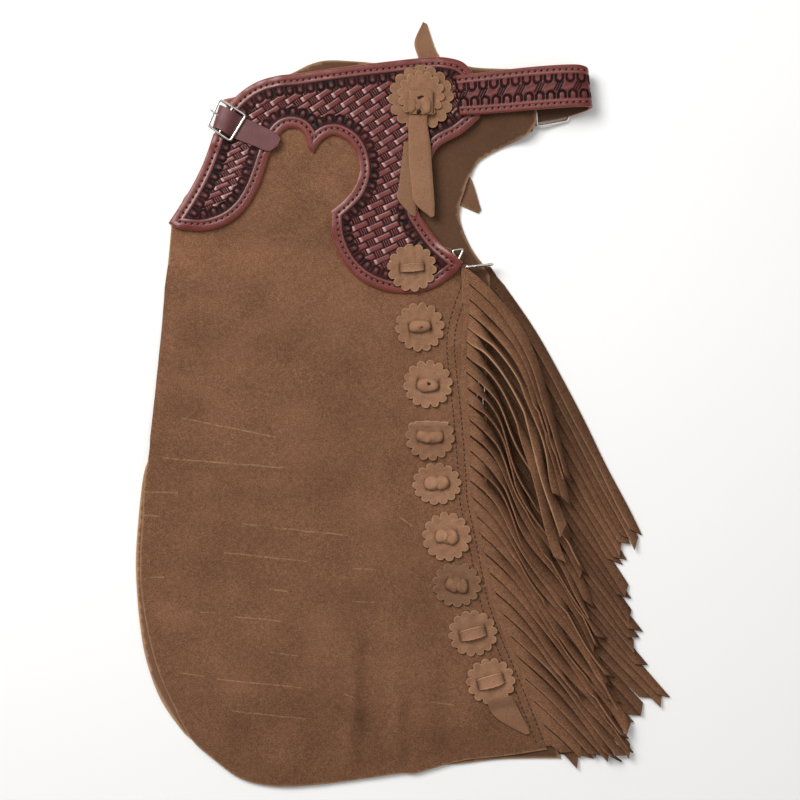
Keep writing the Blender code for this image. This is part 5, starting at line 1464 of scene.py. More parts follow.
def material_named(name):
    """One of the chaps' materials, made once from the settings."""
    found = bpy.data.materials.get(name)
    if found:
        return found
    colours = bpy.context.scene.chaps_leather
    shade, glow, raw = colours.suede_shade, colours.suede_glow, colours.raw_edge
    makers = {
        "napped_suede": lambda: suede(name, colours.suede, shade, glow, raw, scratches=True),
        "fringe_suede": lambda: suede(name, colours.suede, shade, glow, raw),
        "shaded_flesh_side": lambda: suede(name, colours.inside, shade, colours.suede, raw, nap=0.45),
        "rosette_suede": lambda: suede(name, colours.rosette, colours.suede, glow, raw, nap=1.1),
        "tooled_oxblood": lambda: tooled_leather(name, colours.oxblood, colours.oxblood_deep,
                                                 colours.oxblood_rubbed_and_highlight, colours.yoke_edge,
                                                 colours.inside),
        "smooth_latigo": lambda: latigo(name, colours.strap, colours.oxblood),
        "nickel_plated_wire": lambda: nickel(name),
        "seam_thread": lambda: thread(name, linear("#2B1E18"), linear("#120B08")),
        "yoke_thread": lambda: thread(name, linear("#8D6F58"), linear("#4A3128")),
        "painted_board": lambda: pale_floor(name, bpy.context.scene.chaps_stage.floor),
    }
    return makers[name]()


class Bench:
    """What is laid down so far, as the highest level over each cell."""
    top = empty_field()

    @classmethod
    def lay(cls, outline, top_at):
        """Raise the bench to a sheet's upper side."""
        low = np.floor(outline.min(axis=0)).astype(int)
        high = np.ceil(outline.max(axis=0)).astype(int) + 1
        across, up = np.meshgrid(np.arange(low[0], high[0]), np.arange(low[1], high[1]))
        places = np.stack([across.ravel(), up.ravel()], axis=1).astype(float)
        held = inside(outline, places)
        half = BOARD_SIZE // 2
        rows = places[held][:, 1].astype(int) + half
        columns = places[held][:, 0].astype(int) + half
        cls.top[rows, columns] = np.maximum(cls.top[rows, columns], top_at(places[held]))


def on_solid(name, reach, lowest, extra=None, over_bench=None):
    """A sheet's upper side: that of its solid, smoothed, with its creases, clear of the bench."""
    field = smooth_top(name, reach)
    bench = widened(Bench.top, 1) + over_bench if over_bench else None

    def top_at(places):
        level = read(field, places)
        if extra:
            level = level + extra(places)
        if bench is not None:
            level = np.maximum(level, read(bench, places))
        return np.maximum(level, lowest)

    return top_at


def laid_strap(piece, node, stations, thickness, step, across, crown, tone):
    """Add a strap that lies as its solid does."""
    field = box_blurred(spread_out(solid_tops(node), 8), 1)
    fine = curve_through(stations, step)
    edges = []
    for a1, d1, a2, d2 in fine:
        first, second = np.array(board(a1, d1)), np.array(board(a2, d2))
        level = float(read(field, [(first + second) / 2])[0]) - thickness / 2
        edges.append(((*first, level), (*second, level)))
    band(piece, edges, thickness, across, crown=crown, tone=tone)


class CHAPS_OT_legs(bpy.types.Operator):
    """Lays the two suede legs one on the other, with the turned-back flaps between them"""
    bl_idname = "chaps.legs"
    bl_label = "Legs and flaps"

    def execute(self, context):
        far = Piece()
        outline = outline_of(LEG_FAR_OUTLINE, 4.0)
        run = rim_run(outline, LEG_FAR_FOLD)
        top_at = on_solid("leg_far", 4, SUEDE + 0.05,
                          lambda places: np.maximum(creases_at(places, FAR_CREASES, 40), -0.4))
        # Painted light: the shaded flesh side is lightened towards its left, where its edge shows beside the
        # near leg; further right, under the near leg, it keeps its painted shade.
        sheet(far, outline, 5.0, 9.0, top_at, SUEDE, (run, FAR_RETURN_UNDER, "over"),
              tone=lambda places: 1.75 - 0.75 * smooth_step(-260, -60, places[:, 0]))
        Bench.lay(outline_of(LEG_FAR_OUTLINE, 10.0), top_at)
        leg_far = far.finish("right_leg", "shaded_flesh_side", "leg_far")
        flaps = Piece()
        middle_across, middle_down = FLAPS_MIDDLE
        for level, grown in FLAP_LAYERS:
            rows = [(middle_across + (row[0] - middle_across) * grown,
                     middle_down + (row[1] - middle_down) * grown, *row[2:]) for row in FLAPS_OUTLINE]
            sheet(flaps, outline_of(rows, 5.0), 10.0, 10.0,
                  lambda places, top=level + FLAP_LEATHER: np.full(len(places), top), FLAP_LEATHER)
        flaps.finish("turned_back_flaps", "shaded_flesh_side", "thigh_flaps")
        near = Piece()
        outline = outline_of(LEG_NEAR_OUTLINE, 3.0)
        run = rim_run(outline, LEG_NEAR_FOLD)
        top_at = on_solid("leg_near", 6, SUEDE + 0.05,
                          lambda places: creases_at(places, NEAR_CREASES, 11))
        # The leg's tone: darker towards the hem, broad uneven patches, painted shade in the troughs of the
        # creases and painted light on their ridges.
        sheet(near, outline, 2.8, 9.0, top_at, SUEDE, (run, NEAR_RETURN_UNDER, "under"),
              tone=lambda places: 1.02 - 0.12 * smooth_step(240, 350, -places[:, 1])
              + 0.07 * unevenness(places, 110, 61) + 0.05 * unevenness(places, 40, 62)
              + 0.17 * np.clip(crease_marks(places, NEAR_CREASES, 13), -1.4, 0.7),
              sewn=lambda place: place[0] > 52 and -345 < place[1] < 141)
        Bench.lay(outline_of(LEG_NEAR_OUTLINE, 8.0), top_at)
        leg_near = near.finish("left_leg", "napped_suede", "leg_near")
        self.sew_seam(top_at)
        return {"FINISHED"}

    @staticmethod
    def sew_seam(top_at):
        """The double row of stitches along the fringe seam."""
        line = curve_through([board(*row) for row in SEAM_STITCHES], 2.0)
        along = np.gradient(line, axis=0)
        along /= np.linalg.norm(along, axis=1)[:, None]
        right = np.stack([-along[:, 1], along[:, 0]], axis=1)
        stitches = Piece()
        for shift in (0.0, SEAM_LINE_APART):
            moved = line + right * shift
            places, headings, _ = spaced_along(moved, right, SEAM_PITCH, closed=False)
            capsules(stitches, places, headings, top_at(places) + 0.25, SEAM_PITCH * 0.68, 0.5)
        stitches.finish("leg_seam_stitches", "seam_thread")


class CHAPS_OT_fringes(bpy.types.Operator):
    """Cuts the two fringes and lays their strands over each other"""
    bl_idname = "chaps.fringes"
    bl_label = "Fringes"

    def execute(self, context):
        sizes = context.scene.chaps_fringe
        far = Piece()
        cut_fringe(far, FAR_FRINGE, empty_field(), empty_field(), FAR_FRINGE_UNDER, sizes, lambda place: 0.0)
        far.finish("right_fringe", "fringe_suede", "fringe_far")
        under = solid_tops("leg_far", "fringe_far", "tab_snap_upper", "tab_snap_lower", "tab_ring",
                           "snap_lower_hook", "snap_lower_gate", "ring_upper", "thigh_flaps")
        field = draped(under, FRINGE_REACH, FRINGE_SOFTENING)
        near = Piece()
        seam = smooth_top("leg_near", 6)
        cut_fringe(near, NEAR_FRINGE, field, under, 0.0, sizes,
                   lambda place: float(read(seam, [place - np.array([7.0, 0.0])])[0]) - 0.95)
        near.finish("left_fringe", "fringe_suede", "fringe_near")
        return {"FINISHED"}


class CHAPS_OT_yokes(bpy.types.Operator):
    """Lays the two yokes, the upper one tooled and stitched"""
    bl_idname = "chaps.yokes"
    bl_label = "Yokes"

    def execute(self, context):
        sizes = context.scene.chaps_tooling
        far = Piece()
        outline = outline_of(YOKE_FAR_FRONT + YOKE_BODY, 3.0)
        sheet(far, outline, 9.0, 9.0, lambda places: np.full(len(places), TOOLED_LEATHER), TOOLED_LEATHER)
        yoke_far = far.finish("right_yoke", "tooled_oxblood", "yoke_far")
        outline = outline_of(YOKE_NEAR_FRONT + YOKE_BODY, 0.9)
        tooling = YokeTooling(outline, sizes)
        plain = on_solid("yoke_near", 3, TOOLED_LEATHER, over_bench=TOOLED_LEATHER + 0.1)
        near = Piece()
        sheet(near, outline, 0.9, 8.0, lambda places: plain(places) + self.relief(tooling, places),
              TOOLED_LEATHER, tool_at=lambda places: tooling.measure(places)[1])
        yoke_near = near.finish("left_yoke", "tooled_oxblood", "yoke_near")
        Bench.lay(outline_of(YOKE_NEAR_FRONT + YOKE_BODY, 6.0), plain)
        stitches = Piece()
        step = sizes.stitch_pitch / MM
        line, inward = inset_line(outline, sizes.stitch_inset / MM)
        places, headings, _ = spaced_along(line, inward, step)
        middles = (places + np.roll(places, -1, axis=0)) / 2
        close = np.linalg.norm(places - np.roll(places, -1, axis=0), axis=1) < step * 1.3
        capsules(stitches, middles[close], headings[close], plain(middles[close]) - 0.1, step * 0.62, 0.42)
        stitches.finish("yoke_stitches", "yoke_thread")
        return {"FINISHED"}

    @staticmethod
    def relief(tooling, places):
        """The relief of the stamps, which the coarse back of the sheet doesn't take."""
        if len(places) < FEWEST_TOOLED:
            return 0.0
        return tooling.measure(places)[0]


def belt_pattern(along, share, width, sizes):
    """The belt's relief and tone, so far along it in millimetres and at a share of its width."""
    across = share * width
    from_edge = np.minimum(across, width - across)
    side = np.where(across < width / 2, -1.0, 1.0)
    depth = sizes.depth / MM
    relief = -0.5 * np.clip(1 - from_edge / 1.6, 0, 1) ** 2 + 0.2 * np.exp(-((from_edge - 7.6) / 1.2) ** 2)
    # The raised ridge along each edge is painted lighter, as rubbed leather and as painted highlight.
    tone = np.where(from_edge > 8.4, 0.46, 0.57) + 0.12 * np.exp(-((from_edge - 7.2) / 1.3) ** 2)
    groove = np.exp(-((from_edge - BELT_STITCH_INSET) / 0.8) ** 2)
    relief -= 0.3 * groove
    tone -= 0.12 * groove
    pitch = sizes.stitch_pitch / MM
    from_hole = np.hypot((along % pitch) - pitch / 2, from_edge - BELT_STITCH_INSET)
    hole = 1 - smooth_step(0.5, 1.1, from_hole)
    relief -= 0.9 * hole
    tone -= 0.6 * hole
    stamp_pitch = sizes.border_pitch / MM + 0.4
    beside = ((along + np.where(side > 0, 0.0, 2.0)) % stamp_pitch) - stamp_pitch / 2
    deep = from_edge - BELT_STAMP_INSET - STAMP_DEEP
    pressed, dome = half_moon(beside, deep)
    relief -= depth * pressed
    # A stamp's dome is painted lighter, as rubbed leather and as painted highlight, and its pressed ring dark
    # with dye.
    tone += 0.14 * dome - 0.62 * pressed
    middle = across - width / 2
    group = 19.0
    spot = (along + 4.0) % group - group / 2
    lean = spot + middle * 0.55
    lines = (0.5 + 0.5 * np.cos(math.tau * lean / 2.6)) * (np.abs(lean) < 3.9) * (np.abs(middle) < 4.2)
    clear = lines * (1 - pressed)
    relief -= 0.6 * depth * clear
    tone -= 0.42 * clear
    # The bars between the lines are painted lighter, as rubbed leather and as painted highlight.
    bar = np.abs(middle + 0.3 * (((along + 10) % group) - group / 2)) < 1.3
    bar = bar * (np.abs(((along + 4.0) % group) - group / 2) > 4.4) * (1 - pressed)
    tone += 0.12 * bar
    return relief, np.clip(tone, 0, 1)


def belt_level():
    """The level that the belt starts at, from the height of its solid."""
    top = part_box("belt")[1].z / MM
    rise = max(row[4] for row in BELT_STATIONS) / 10
    return (top - BELT_LEATHER / 2 + rise * BELT_TIP_LEVEL) / (1 + rise)


class CHAPS_OT_belt(bpy.types.Operator):
    """Folds the tooled belt round, with its chape and keeper"""
    bl_idname = "chaps.belt"
    bl_label = "Belt"

    def execute(self, context):
        sizes = context.scene.chaps_tooling
        level = belt_level()
        rows = []
        for a1, d1, a2, d2, rise, thickness in BELT_STATIONS:
            height = level + rise * (level - BELT_TIP_LEVEL) / 10
            rows.append([*board(a1, d1), height, *board(a2, d2), height, thickness])
        fine = curve_through(rows, 0.9)
        edges = [(row[:3], row[3:6]) for row in fine]
        middles = np.array([(row[:3] + row[3:6]) / 2 for row in fine])
        along = np.concatenate([[0], np.cumsum(np.linalg.norm(np.diff(middles, axis=0), axis=1))])
        across = 52
        shares = np.linspace(0, 1, across + 1)
        relief = []
        tones = []
        for spot, row in zip(along, fine):
            width = float(np.linalg.norm(row[3:6] - row[:3]))
            carved, tone = belt_pattern(np.full(across + 1, spot), shares, width, sizes)
            relief.append(carved)
            tones.append(tone)
        belt = Piece()
        # The tooled side has to face up where the belt starts.
        faces_up = Vector(middles[1] - middles[0]).cross(Vector(fine[0][3:6] - fine[0][:3])).z > 0
        turn = 1 if faces_up else -1
        band(belt, [edge[::turn] for edge in edges], [row[6] for row in fine], across,
             relief=[row[::turn] for row in relief], tool=[row[::turn] for row in tones], flesh=0.0)
        belt.finish("belt_leather", "tooled_oxblood", "belt")
        self.stitch(edges, along, sizes)
        chape = Piece()
        stations = [cross_line(row, row[4]) for row in CHAPE_STATIONS]
        band(chape, smooth_edges(stations, 4.0), CHAPE_LEATHER, 6, tone=0.0)
        chape.finish("rear_chape", "tooled_oxblood", "belt_chape")
        self.bend_keeper()
        return {"FINISHED"}

    @staticmethod
    def stitch(edges, along, sizes):
        """The thread between the belt's holes, along both of its edges."""
        pitch = sizes.stitch_pitch / MM
        stitches = Piece()
        spots = np.arange(pitch, along[-1] * 0.62, pitch)
        for side in (0, 1):
            line = []
            for first, second in edges:
                outer, inner = (first, second) if side == 0 else (second, first)
                way = (inner - outer) / np.linalg.norm(inner - outer)
                line.append(outer + way * BELT_STITCH_INSET)
            line = np.array(line)
            for spot in spots:
                place, ahead = (np.array([np.interp(at, along, line[:, axis]) for axis in range(3)])
                                for at in (spot, spot + 0.5))
                heading = ahead - place
                if abs(heading[2]) > 0.25 or heading[0] < 0:
                    continue
                capsules(stitches, [place[:2]], [heading[:2] / np.linalg.norm(heading[:2])],
                         [place[2] + BELT_LEATHER / 2 - 0.05], pitch * 0.6, 0.42)
        stitches.finish("belt_stitches", "yoke_thread")

    @staticmethod
    def bend_keeper():
        """The band of leather round the chape and the belt's tip."""
        low, high = KEEPER_INSIDE
        near, far = KEEPER_DOWN
        left, right = KEEPER_ACROSS
        half = KEEPER_LEATHER / 2
        corners = [(near - half, low - half), (far + half, low - half), (far + half, high + half),
                   (near - half, high + half)]
        loop = []
        for index, (down, height) in enumerate(corners):
            before, after = np.array(corners[index - 1]), np.array(corners[(index + 1) % 4])
            here = np.array((down, height))
            for way in (before - here, after - here):
                loop.append(here + way / np.linalg.norm(way) * 1.2)
        loop.append(loop[0])
        edges = [((*board(left, down), height), (*board(right, down), height)) for down, height in loop]
        keeper = Piece()
        band(keeper, edges, KEEPER_LEATHER, 2)
        keeper.finish("rear_keeper", "tooled_oxblood", "belt_keeper")


def scalloped(centre, radius, lobes, chance, squash=1.0, folded=None):
    """The outline of a rosette whose lobes are cut by hand, none quite like the next. It may be
    flattened a little, or folded over along a level line near its top."""
    middle = np.array(board(*centre))
    sizes = chance.uniform(0.8, 1.15, lobes)
    turn = chance.uniform(0, math.tau / lobes)
    outline = []
    steps = 8
    for step in range(lobes * steps):
        angle = math.tau * step / (lobes * steps) + turn
        share = (step % steps) / steps
        bulge = math.sin(math.pi * share) ** 0.6
        reach = radius - 4.2 * (1 - bulge) * sizes[step // steps]
        spot = reach * np.array([math.cos(angle), math.sin(angle) * squash])
        if folded is not None and spot[1] > folded:
            spot[1] = folded + 0.16 * (spot[1] - folded)
        outline.append(middle + spot)
    return np.array(outline)


def turned_place(middle, direction, along, beside):
    """The place that lies so far along a direction and beside it."""
    cosine, sine = math.cos(direction), math.sin(direction)
    return np.array([middle[0] + along * cosine - beside * sine, middle[1] + along * sine + beside * cosine])


def lump(piece, middle, heading, size, level, height, chance, tone):
    """Add a rounded lump of knotted thong, dimpled and uneven, its top lighter as painted light and its foot
    and dimple darker as painted shade.
    """
    rings, around = 10, 16
    phases = chance.uniform(0, math.tau, 3)
    dimple = chance.uniform(-0.25, 0.25)
    points = []
    tones = []
    for ring in range(rings + 1):
        polar = math.pi * ring / rings
        along = math.copysign(abs(math.cos(polar)) ** 0.85, math.cos(polar))
        for step in range(around if 0 < ring < rings else 1):
            turn = math.tau * step / around
            uneven = 1 + 0.09 * math.sin(2 * turn + 2.2 * polar + phases[0]) + 0.06 * math.sin(
                3 * turn - 3 * polar + phases[1])
            reach = math.sin(polar) ** 0.75 * uneven
            up = math.sin(turn) * reach
            hollow = 0.3 * math.exp(-((along - dimple) / 0.22) ** 2) * max(0.0, math.sin(turn)) ** 2
            spot = turned_place(middle, heading, along * size[0] / 2, math.cos(turn) * reach * size[1] / 2)
            points.append((*spot, level + 0.2 + height * (max(up, -0.05) * 0.9 - hollow * reach)))
            # Painted light on the top of the lump, painted shade at its foot and in its dimple.
            tones.append(tone * (0.74 + 0.36 * max(0.0, up) - 0.35 * hollow))
    start = piece.add_points(points, 0.0, np.array(tones))
    last = len(points) - 1
    for step in range(around):
        beside = (step + 1) % around
        piece.faces.append([start, start + 1 + beside, start + 1 + step])
        low = last - around
        piece.faces.append([start + last, start + low + step, start + low + beside])
    piece.join_rings(start + 1, around, rings - 1)


class CHAPS_OT_rosettes(bpy.types.Operator):
    """Cuts the scalloped rosettes and ties the knots that hold them"""
    bl_idname = "chaps.rosettes"
    bl_label = "Rosettes"

    def execute(self, context):
        chance = np.random.default_rng(23)
        for number, row in enumerate(ROSETTES, 1):
            across, down, length, _, _, turn, squash, tone = row
            slits = [(turned_place(board(across, down), math.radians(turn), side * length / 2, 0), turn)
                     for side in (-1.0, 1.0)]
            self.cut_disc(f"rosette_{number}", f"small_rosette_{number}", (across, down), ROSETTE_RADIUS,
                          ROSETTE_LOBES, tone, chance, slits, squash,
                          FOLDED_AT if number == FOLDED_ROSETTE else None)
            self.tie_knot(number, row, chance)
        self.cut_disc("rosette_big_under", "large_rosette_under", (421, 98), 33.0, 16, 0.92, chance)
        self.cut_disc("rosette_big_top", "large_rosette_top", (421, 95), 24.0, 14, 1.02, chance)
        return {"FINISHED"}

    @staticmethod
    def cut_disc(node, name, centre, radius, lobes, tone, chance, slits=(), squash=1.0, folded=None):
        outline = scalloped(centre, radius, lobes, chance, squash, folded)
        seed = int(chance.integers(1000))
        middle = np.array(board(*centre))

        def cupped(places):
            reach = np.linalg.norm(places - middle, axis=1) / radius
            height = 0.5 * unevenness(places, 20, seed) * reach + 0.9 * reach ** 4
            if folded is not None:
                height = height + 1.3 * np.exp(-((places[:, 1] - middle[1] - folded + 2.5) / 3.0) ** 2)
            return height

        def mottled(places):
            shade = tone * (1 + 0.1 * unevenness(places, 9, seed + 1))
            # Painted shade at the slits, where the thong goes into the disc.
            for spot, turn in slits:
                away = places - spot
                cosine, sine = math.cos(math.radians(turn)), math.sin(math.radians(turn))
                along, beside = away @ np.array([cosine, sine]), away @ np.array([-sine, cosine])
                shade = shade * (1 - 0.8 * np.exp(-(along / 1.6) ** 2 - (beside / 6.5) ** 4))
            return shade

        top_at = on_solid(node, 2, SUEDE, cupped, over_bench=SUEDE + 0.1)
        disc = Piece()
        sheet(disc, outline, 1.8, 5.0, top_at, SUEDE, tone=mottled)
        disc.finish(name, "rosette_suede", node)
        Bench.lay(outline, top_at)

    @staticmethod
    def tie_knot(number, row, chance):
        """A thong drawn through its two slits: a flat strap, or a lump where it is knotted."""
        across, down, length, width, height, turn, _, tone = row
        node = f"rosette_{number}_knot"
        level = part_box(node)[0].z / MM
        middle = np.array(board(across, down))
        direction = math.radians(turn)
        knot = Piece()
        if height < LOWEST_LUMP:
            edges = []
            side = np.array([-math.sin(direction), math.cos(direction)]) * width / 2
            for share in np.linspace(-1, 1, 15):
                arch = (1 - abs(share) ** 2.6) * (height - TIE_LEATHER)
                spot = turned_place(middle, direction, share * length / 2, 0)
                pinch = (0.92 - 0.2 * abs(share) ** 3) * (1 + 0.06 * chance.uniform(-1, 1))
                z = level + TIE_LEATHER / 2 + arch
                edges.append(((*(spot + side * pinch), z), (*(spot - side * pinch), z)))
            # Painted shade: the strap is darker towards its ends, where it dives into the slits.
            band(knot, edges, TIE_LEATHER, 6, crown=0.7,
                 tone=tone * (1.15 - 0.65 * np.abs(np.linspace(-1, 1, 15)) ** 6))
        else:
            parts = BUN if number in BUN_KNOTS else TWO_LUMPS
            for side, share, breadth, rise, lit in parts:
                spot = turned_place(middle, direction, side * length, 0.1 * width * chance.uniform(-1, 1))
                lump(knot, spot, direction + 3.0 * side * chance.uniform(0.1, 0.5),
                     (length * share, width * breadth * chance.uniform(0.95, 1.1)),
                     level, height * rise, chance, tone * lit)
        knot.finish(f"thong_{number}", "rosette_suede", node)


class CHAPS_OT_ties(bpy.types.Operator):
    """Lays the tie ends, the knot of the large rosette, and the tabs of the fasteners"""
    bl_idname = "chaps.ties"
    bl_label = "Ties and tabs"

    def execute(self, context):
        for node, stations, name, tone in (
                ("tie_back", TIE_BACK, "back_tie_end", 0.84), ("tie_front", TIE_FRONT, "front_tie_end", 0.98),
                ("tie_far_top", TIE_FAR_TOP, "upper_tie_end", 0.9),
                ("tie_far_bottom", TIE_FAR_BOTTOM, "lower_tie_end", 0.62),
                ("tie_leaf", LEAF_TIE, "leaf_tie_end", 0.95)):
            tie = Piece()
            laid_strap(tie, node, stations, TIE_LEATHER, 3.0, across=6, crown=0.5, tone=tone)
            tie.finish(name, "rosette_suede", node)
        self.tie_washer()
        for node, stations in TABS:
            tab = Piece()
            laid_strap(tab, node, stations, TIE_LEATHER, 2.5, across=4, crown=0.3, tone=0.7)
            tab.finish(node + "_leather", "shaded_flesh_side", node)
        return {"FINISHED"}

    @staticmethod
    def tie_washer():
        """The square washer of suede and the thong that is twisted through it."""
        low, high = (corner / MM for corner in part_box("rosette_big_knot"))
        knot = Piece()
        edges = []
        for share in np.linspace(0, 1, 13):
            y = high.y - 1.0 - (high.y - low.y - 2.0) * share
            edges.append(((low.x + 0.8, y, low.z + 0.9), (high.x - 0.8, y, low.z + 0.9)))
        band(knot, edges, TIE_LEATHER, 10, crown=0.6, tone=1.0)
        chance = np.random.default_rng(41)
        for across, down, turn, length, width, share, tone in LARGE_KNOT:
            lump(knot, np.array(board(across, down)), math.radians(turn), (length, width), low.z + 1.7,
                 (high.z - low.z - 0.6) * share, chance, tone)
        knot.finish("large_rosette_knot", "rosette_suede", "rosette_big_knot")


def bent_wire(name, path, radii, closed=False, body=BODY, replaces=()):
    """Nickel-plated wire bent along a path, as thick at each place as radii says."""
    bpy.ops.object.select_all(action="DESELECT")
    bpy.ops.curve.primitive_bezier_circle_add(radius=0.01)
    wire = bpy.context.object
    curve = wire.data
    curve.splines.clear()
    spline = curve.splines.new("POLY")
    spline.points.add(len(path) - 1)
    radii = np.broadcast_to(np.asarray(radii, dtype=float), (len(path),))
    for point, place, radius in zip(spline.points, path, radii):
        point.co = (*(Vector(place) * MM), 1.0)
        point.radius = radius * MM
    spline.use_cyclic_u = closed
    curve.dimensions = "3D"
    curve.bevel_depth = 1.0
    curve.bevel_resolution = 4
    curve.use_fill_caps = True
    bpy.ops.object.convert(target="MESH")
    wire = bpy.context.object
    bpy.ops.object.mode_set(mode="EDIT")
    bpy.ops.mesh.select_all(action="SELECT")
    bpy.ops.mesh.remove_doubles(threshold=0.00002)
    bpy.ops.mesh.normals_make_consistent(inside=False)
    bpy.ops.object.mode_set(mode="OBJECT")
    bpy.ops.object.transform_apply(location=True, rotation=True, scale=True)
    bpy.ops.object.shade_smooth_by_angle(angle=math.radians(50))
    wire.name = name
    wire.data.name = name
    wire.data.materials.clear()
    wire.data.materials.append(material_named("nickel_plated_wire"))
    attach(wire, body)
    if replaces:
        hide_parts(*replaces)
    return wire


def rounded_loop(corners, radius):
    """A closed loop through the corners, each rounded."""
    path = []
    for index, corner in enumerate(corners):
        before = (corners[index - 1] - corner).normalized() * radius
        after = (corners[(index + 1) % len(corners)] - corner).normalized() * radius
        for step in range(7):
            turn = math.pi / 2 * step / 6
            path.append(corner + before * (1 - math.sin(turn)) + after * (1 - math.cos(turn)))
    return path


class CHAPS_OT_front_strap(bpy.types.Operator):
    """Runs the smooth front strap through its buckle"""
    bl_idname = "chaps.front_strap"
    bl_label = "Front strap and buckle"

    def execute(self, context):
        low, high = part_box("buckle_front_frame")
        level = (low.z + high.z) / 2 / MM
        yoke_top = level - FRONT_BUCKLE_LEVEL
        rows = [cross_line(row, yoke_top + row[4]) for row in STRAP_STATIONS]
        strap = Piece()
        band(strap, smooth_edges(rows, 1.6), STRAP_LEATHER, 10, crown=0.15)
        strap.finish("front_strap_leather", "smooth_latigo", "front_strap")
        corners = [Vector((*board(*corner), level)) for corner in FRONT_BUCKLE_CORNERS]
        bent_wire("front_buckle_frame", rounded_loop(corners, 2.5), WIRE / 2 * 0.9, closed=True,
                  replaces=["buckle_front_frame"])
        upper = corners[0].lerp(corners[1], 0.5)
        lower = corners[3].lerp(corners[2], 0.5)
        bent_wire("front_buckle_bar", [upper.lerp(lower, share) for share in np.linspace(0, 1, 9)], 1.0)
        middle = (upper + lower) / 2
        left = ((corners[0] + corners[3]) / 2 - middle).normalized()
        down_bar = (lower - upper).normalized()
        self.bend_chape(middle, left, down_bar, yoke_top)
        start = middle + left * 3.5
        path = []
        for share in np.linspace(0, 1, 12):
            lift = 4.1 * share + 0.5 * math.sin(math.pi * share)
            path.append(start + left * 15.0 * share + Vector((0, 0, lift)))
        bent_wire("front_buckle_tongue", path, np.linspace(1.15, 0.7, 12), replaces=["buckle_front_tongue"])
        return {"FINISHED"}

    @staticmethod
    def bend_chape(middle, left, down_bar, yoke_top):
        """The thin loop of leather that holds the buckle's middle bar on the yoke."""
        radius = 1.65
        base = yoke_top + GAP + CHAPE_LAYER / 2 - middle.z
        profile = [(-5.0, base), (-radius - 1.5, base), (0.0, -radius), (radius * 0.87, -radius / 2),
                   (radius * 0.87, radius / 2), (0.0, radius), (-radius, radius * 0.8), (-5.0, -0.4)]
        rows = []
        for along, height in profile:
            place = middle + left * along + Vector((0, 0, height))
            rows.append((tuple(place - down_bar * 9.0), tuple(place + down_bar * 9.0)))
        chape = Piece()
        band(chape, smooth_edges(rows, 0.8), CHAPE_LAYER, 6)
        chape.finish("front_chape", "tooled_oxblood", "buckle_front_chape")


class CHAPS_OT_fasteners(bpy.types.Operator):
    """Bends the rear buckle, the two spring snaps with their gates, and the ring"""
    bl_idname = "chaps.fasteners"
    bl_label = "Buckle, snaps and ring"

    def execute(self, context):
        corners = []
        for ends, height in ((REAR_BUCKLE_LEFT, REAR_BUCKLE_LEFT_HEIGHT),
                             (REAR_BUCKLE_RIGHT[::-1], REAR_BUCKLE_RIGHT_HEIGHT)):
            corners += [Vector((*board(*end), height)) for end in ends]
        bent_wire("rear_buckle_frame", rounded_loop(corners, 3.0), WIRE / 2, closed=True,
                  replaces=["buckle_rear_frame"])
        left = (corners[0] + corners[1]) / 2
        along = ((corners[2] + corners[3]) / 2 - left).normalized()
        start = left + along * (WIRE / 2 + GAP + REAR_TONGUE_RADIUS) + Vector((0, 0, 0.9))
        path = [start + along * 5.0 * share + Vector((0, 0, 0.9 * share)) for share in np.linspace(0, 1, 7)]
        bent_wire("rear_buckle_tongue", path, np.linspace(1.1, 0.8, 7), replaces=["buckle_rear_tongue"])
        for row in SNAPS:
            self.bend_snap(row)
        low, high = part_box("ring_upper")
        level = (low.z + high.z) / 2 / MM
        loop = rounded_loop([Vector((*board(*corner), level)) for corner in RING_CORNERS], 3.0)
        bent_wire("upper_ring", loop, RING_WIRE / 2, closed=True, replaces=["ring_upper"])
        return {"FINISHED"}

    @staticmethod
    def bend_snap(row):
        name, eye_across, eye_down, nose_across, nose_down, pose, gate_side = row
        low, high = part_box(name + "_hook")
        level = (low.z + high.z) / 2 / MM
        eye = Vector((*board(eye_across, eye_down), level))
        nose = Vector((*board(nose_across, nose_down), level))
        along = (nose - eye).normalized()
        across = Vector((0, 0, gate_side))
        if pose == "flat":
            across = Vector((0, 0, 1)).cross(along) * gate_side

        def at(u, v):
            return eye + along * u + across * v

        half = SNAP_HALF_WIDTH
        path = [at(SNAP_LUG_END, half)]
        for step in range(17):
            angle = math.radians(60 + 15 * step)
            path.append(at(SNAP_EYE_CENTRE + SNAP_EYE_RADIUS * math.cos(angle),
                           SNAP_EYE_RADIUS * math.sin(angle)))
        for share in np.linspace(0, 1, 8):
            path.append(at(SNAP_LUG_END + (SNAP_NOSE_START - SNAP_LUG_END) * share, -half))
        for step in range(1, 9):
            angle = math.radians(-90 + 22.5 * step)
            path.append(at(SNAP_NOSE_START + half * math.cos(angle), half * math.sin(angle)))
        path.append(at(SNAP_MOUTH_END, half))
        # The lug, the eye, the spine, the nose and the mouth each have their own thickness.
        radii = [SNAP_WIRE * share for share, count in ((0.9, 1), (0.86, 17), (1.0, 8), (0.92, 8), (0.8, 1))
                 for _ in range(count)]
        bent_wire(name + "_wire", path, radii, replaces=[name + "_hook"])
        gate = [at(GATE_START + (GATE_END - GATE_START) * share, half) for share in np.linspace(0, 1, 9)]
        bent_wire(name + "_gate_wire", gate, [0.8, 1.0] + [GATE_RADIUS] * 5 + [1.0, 0.75],
                  body=name + "_gate_body", replaces=[name + "_gate"])


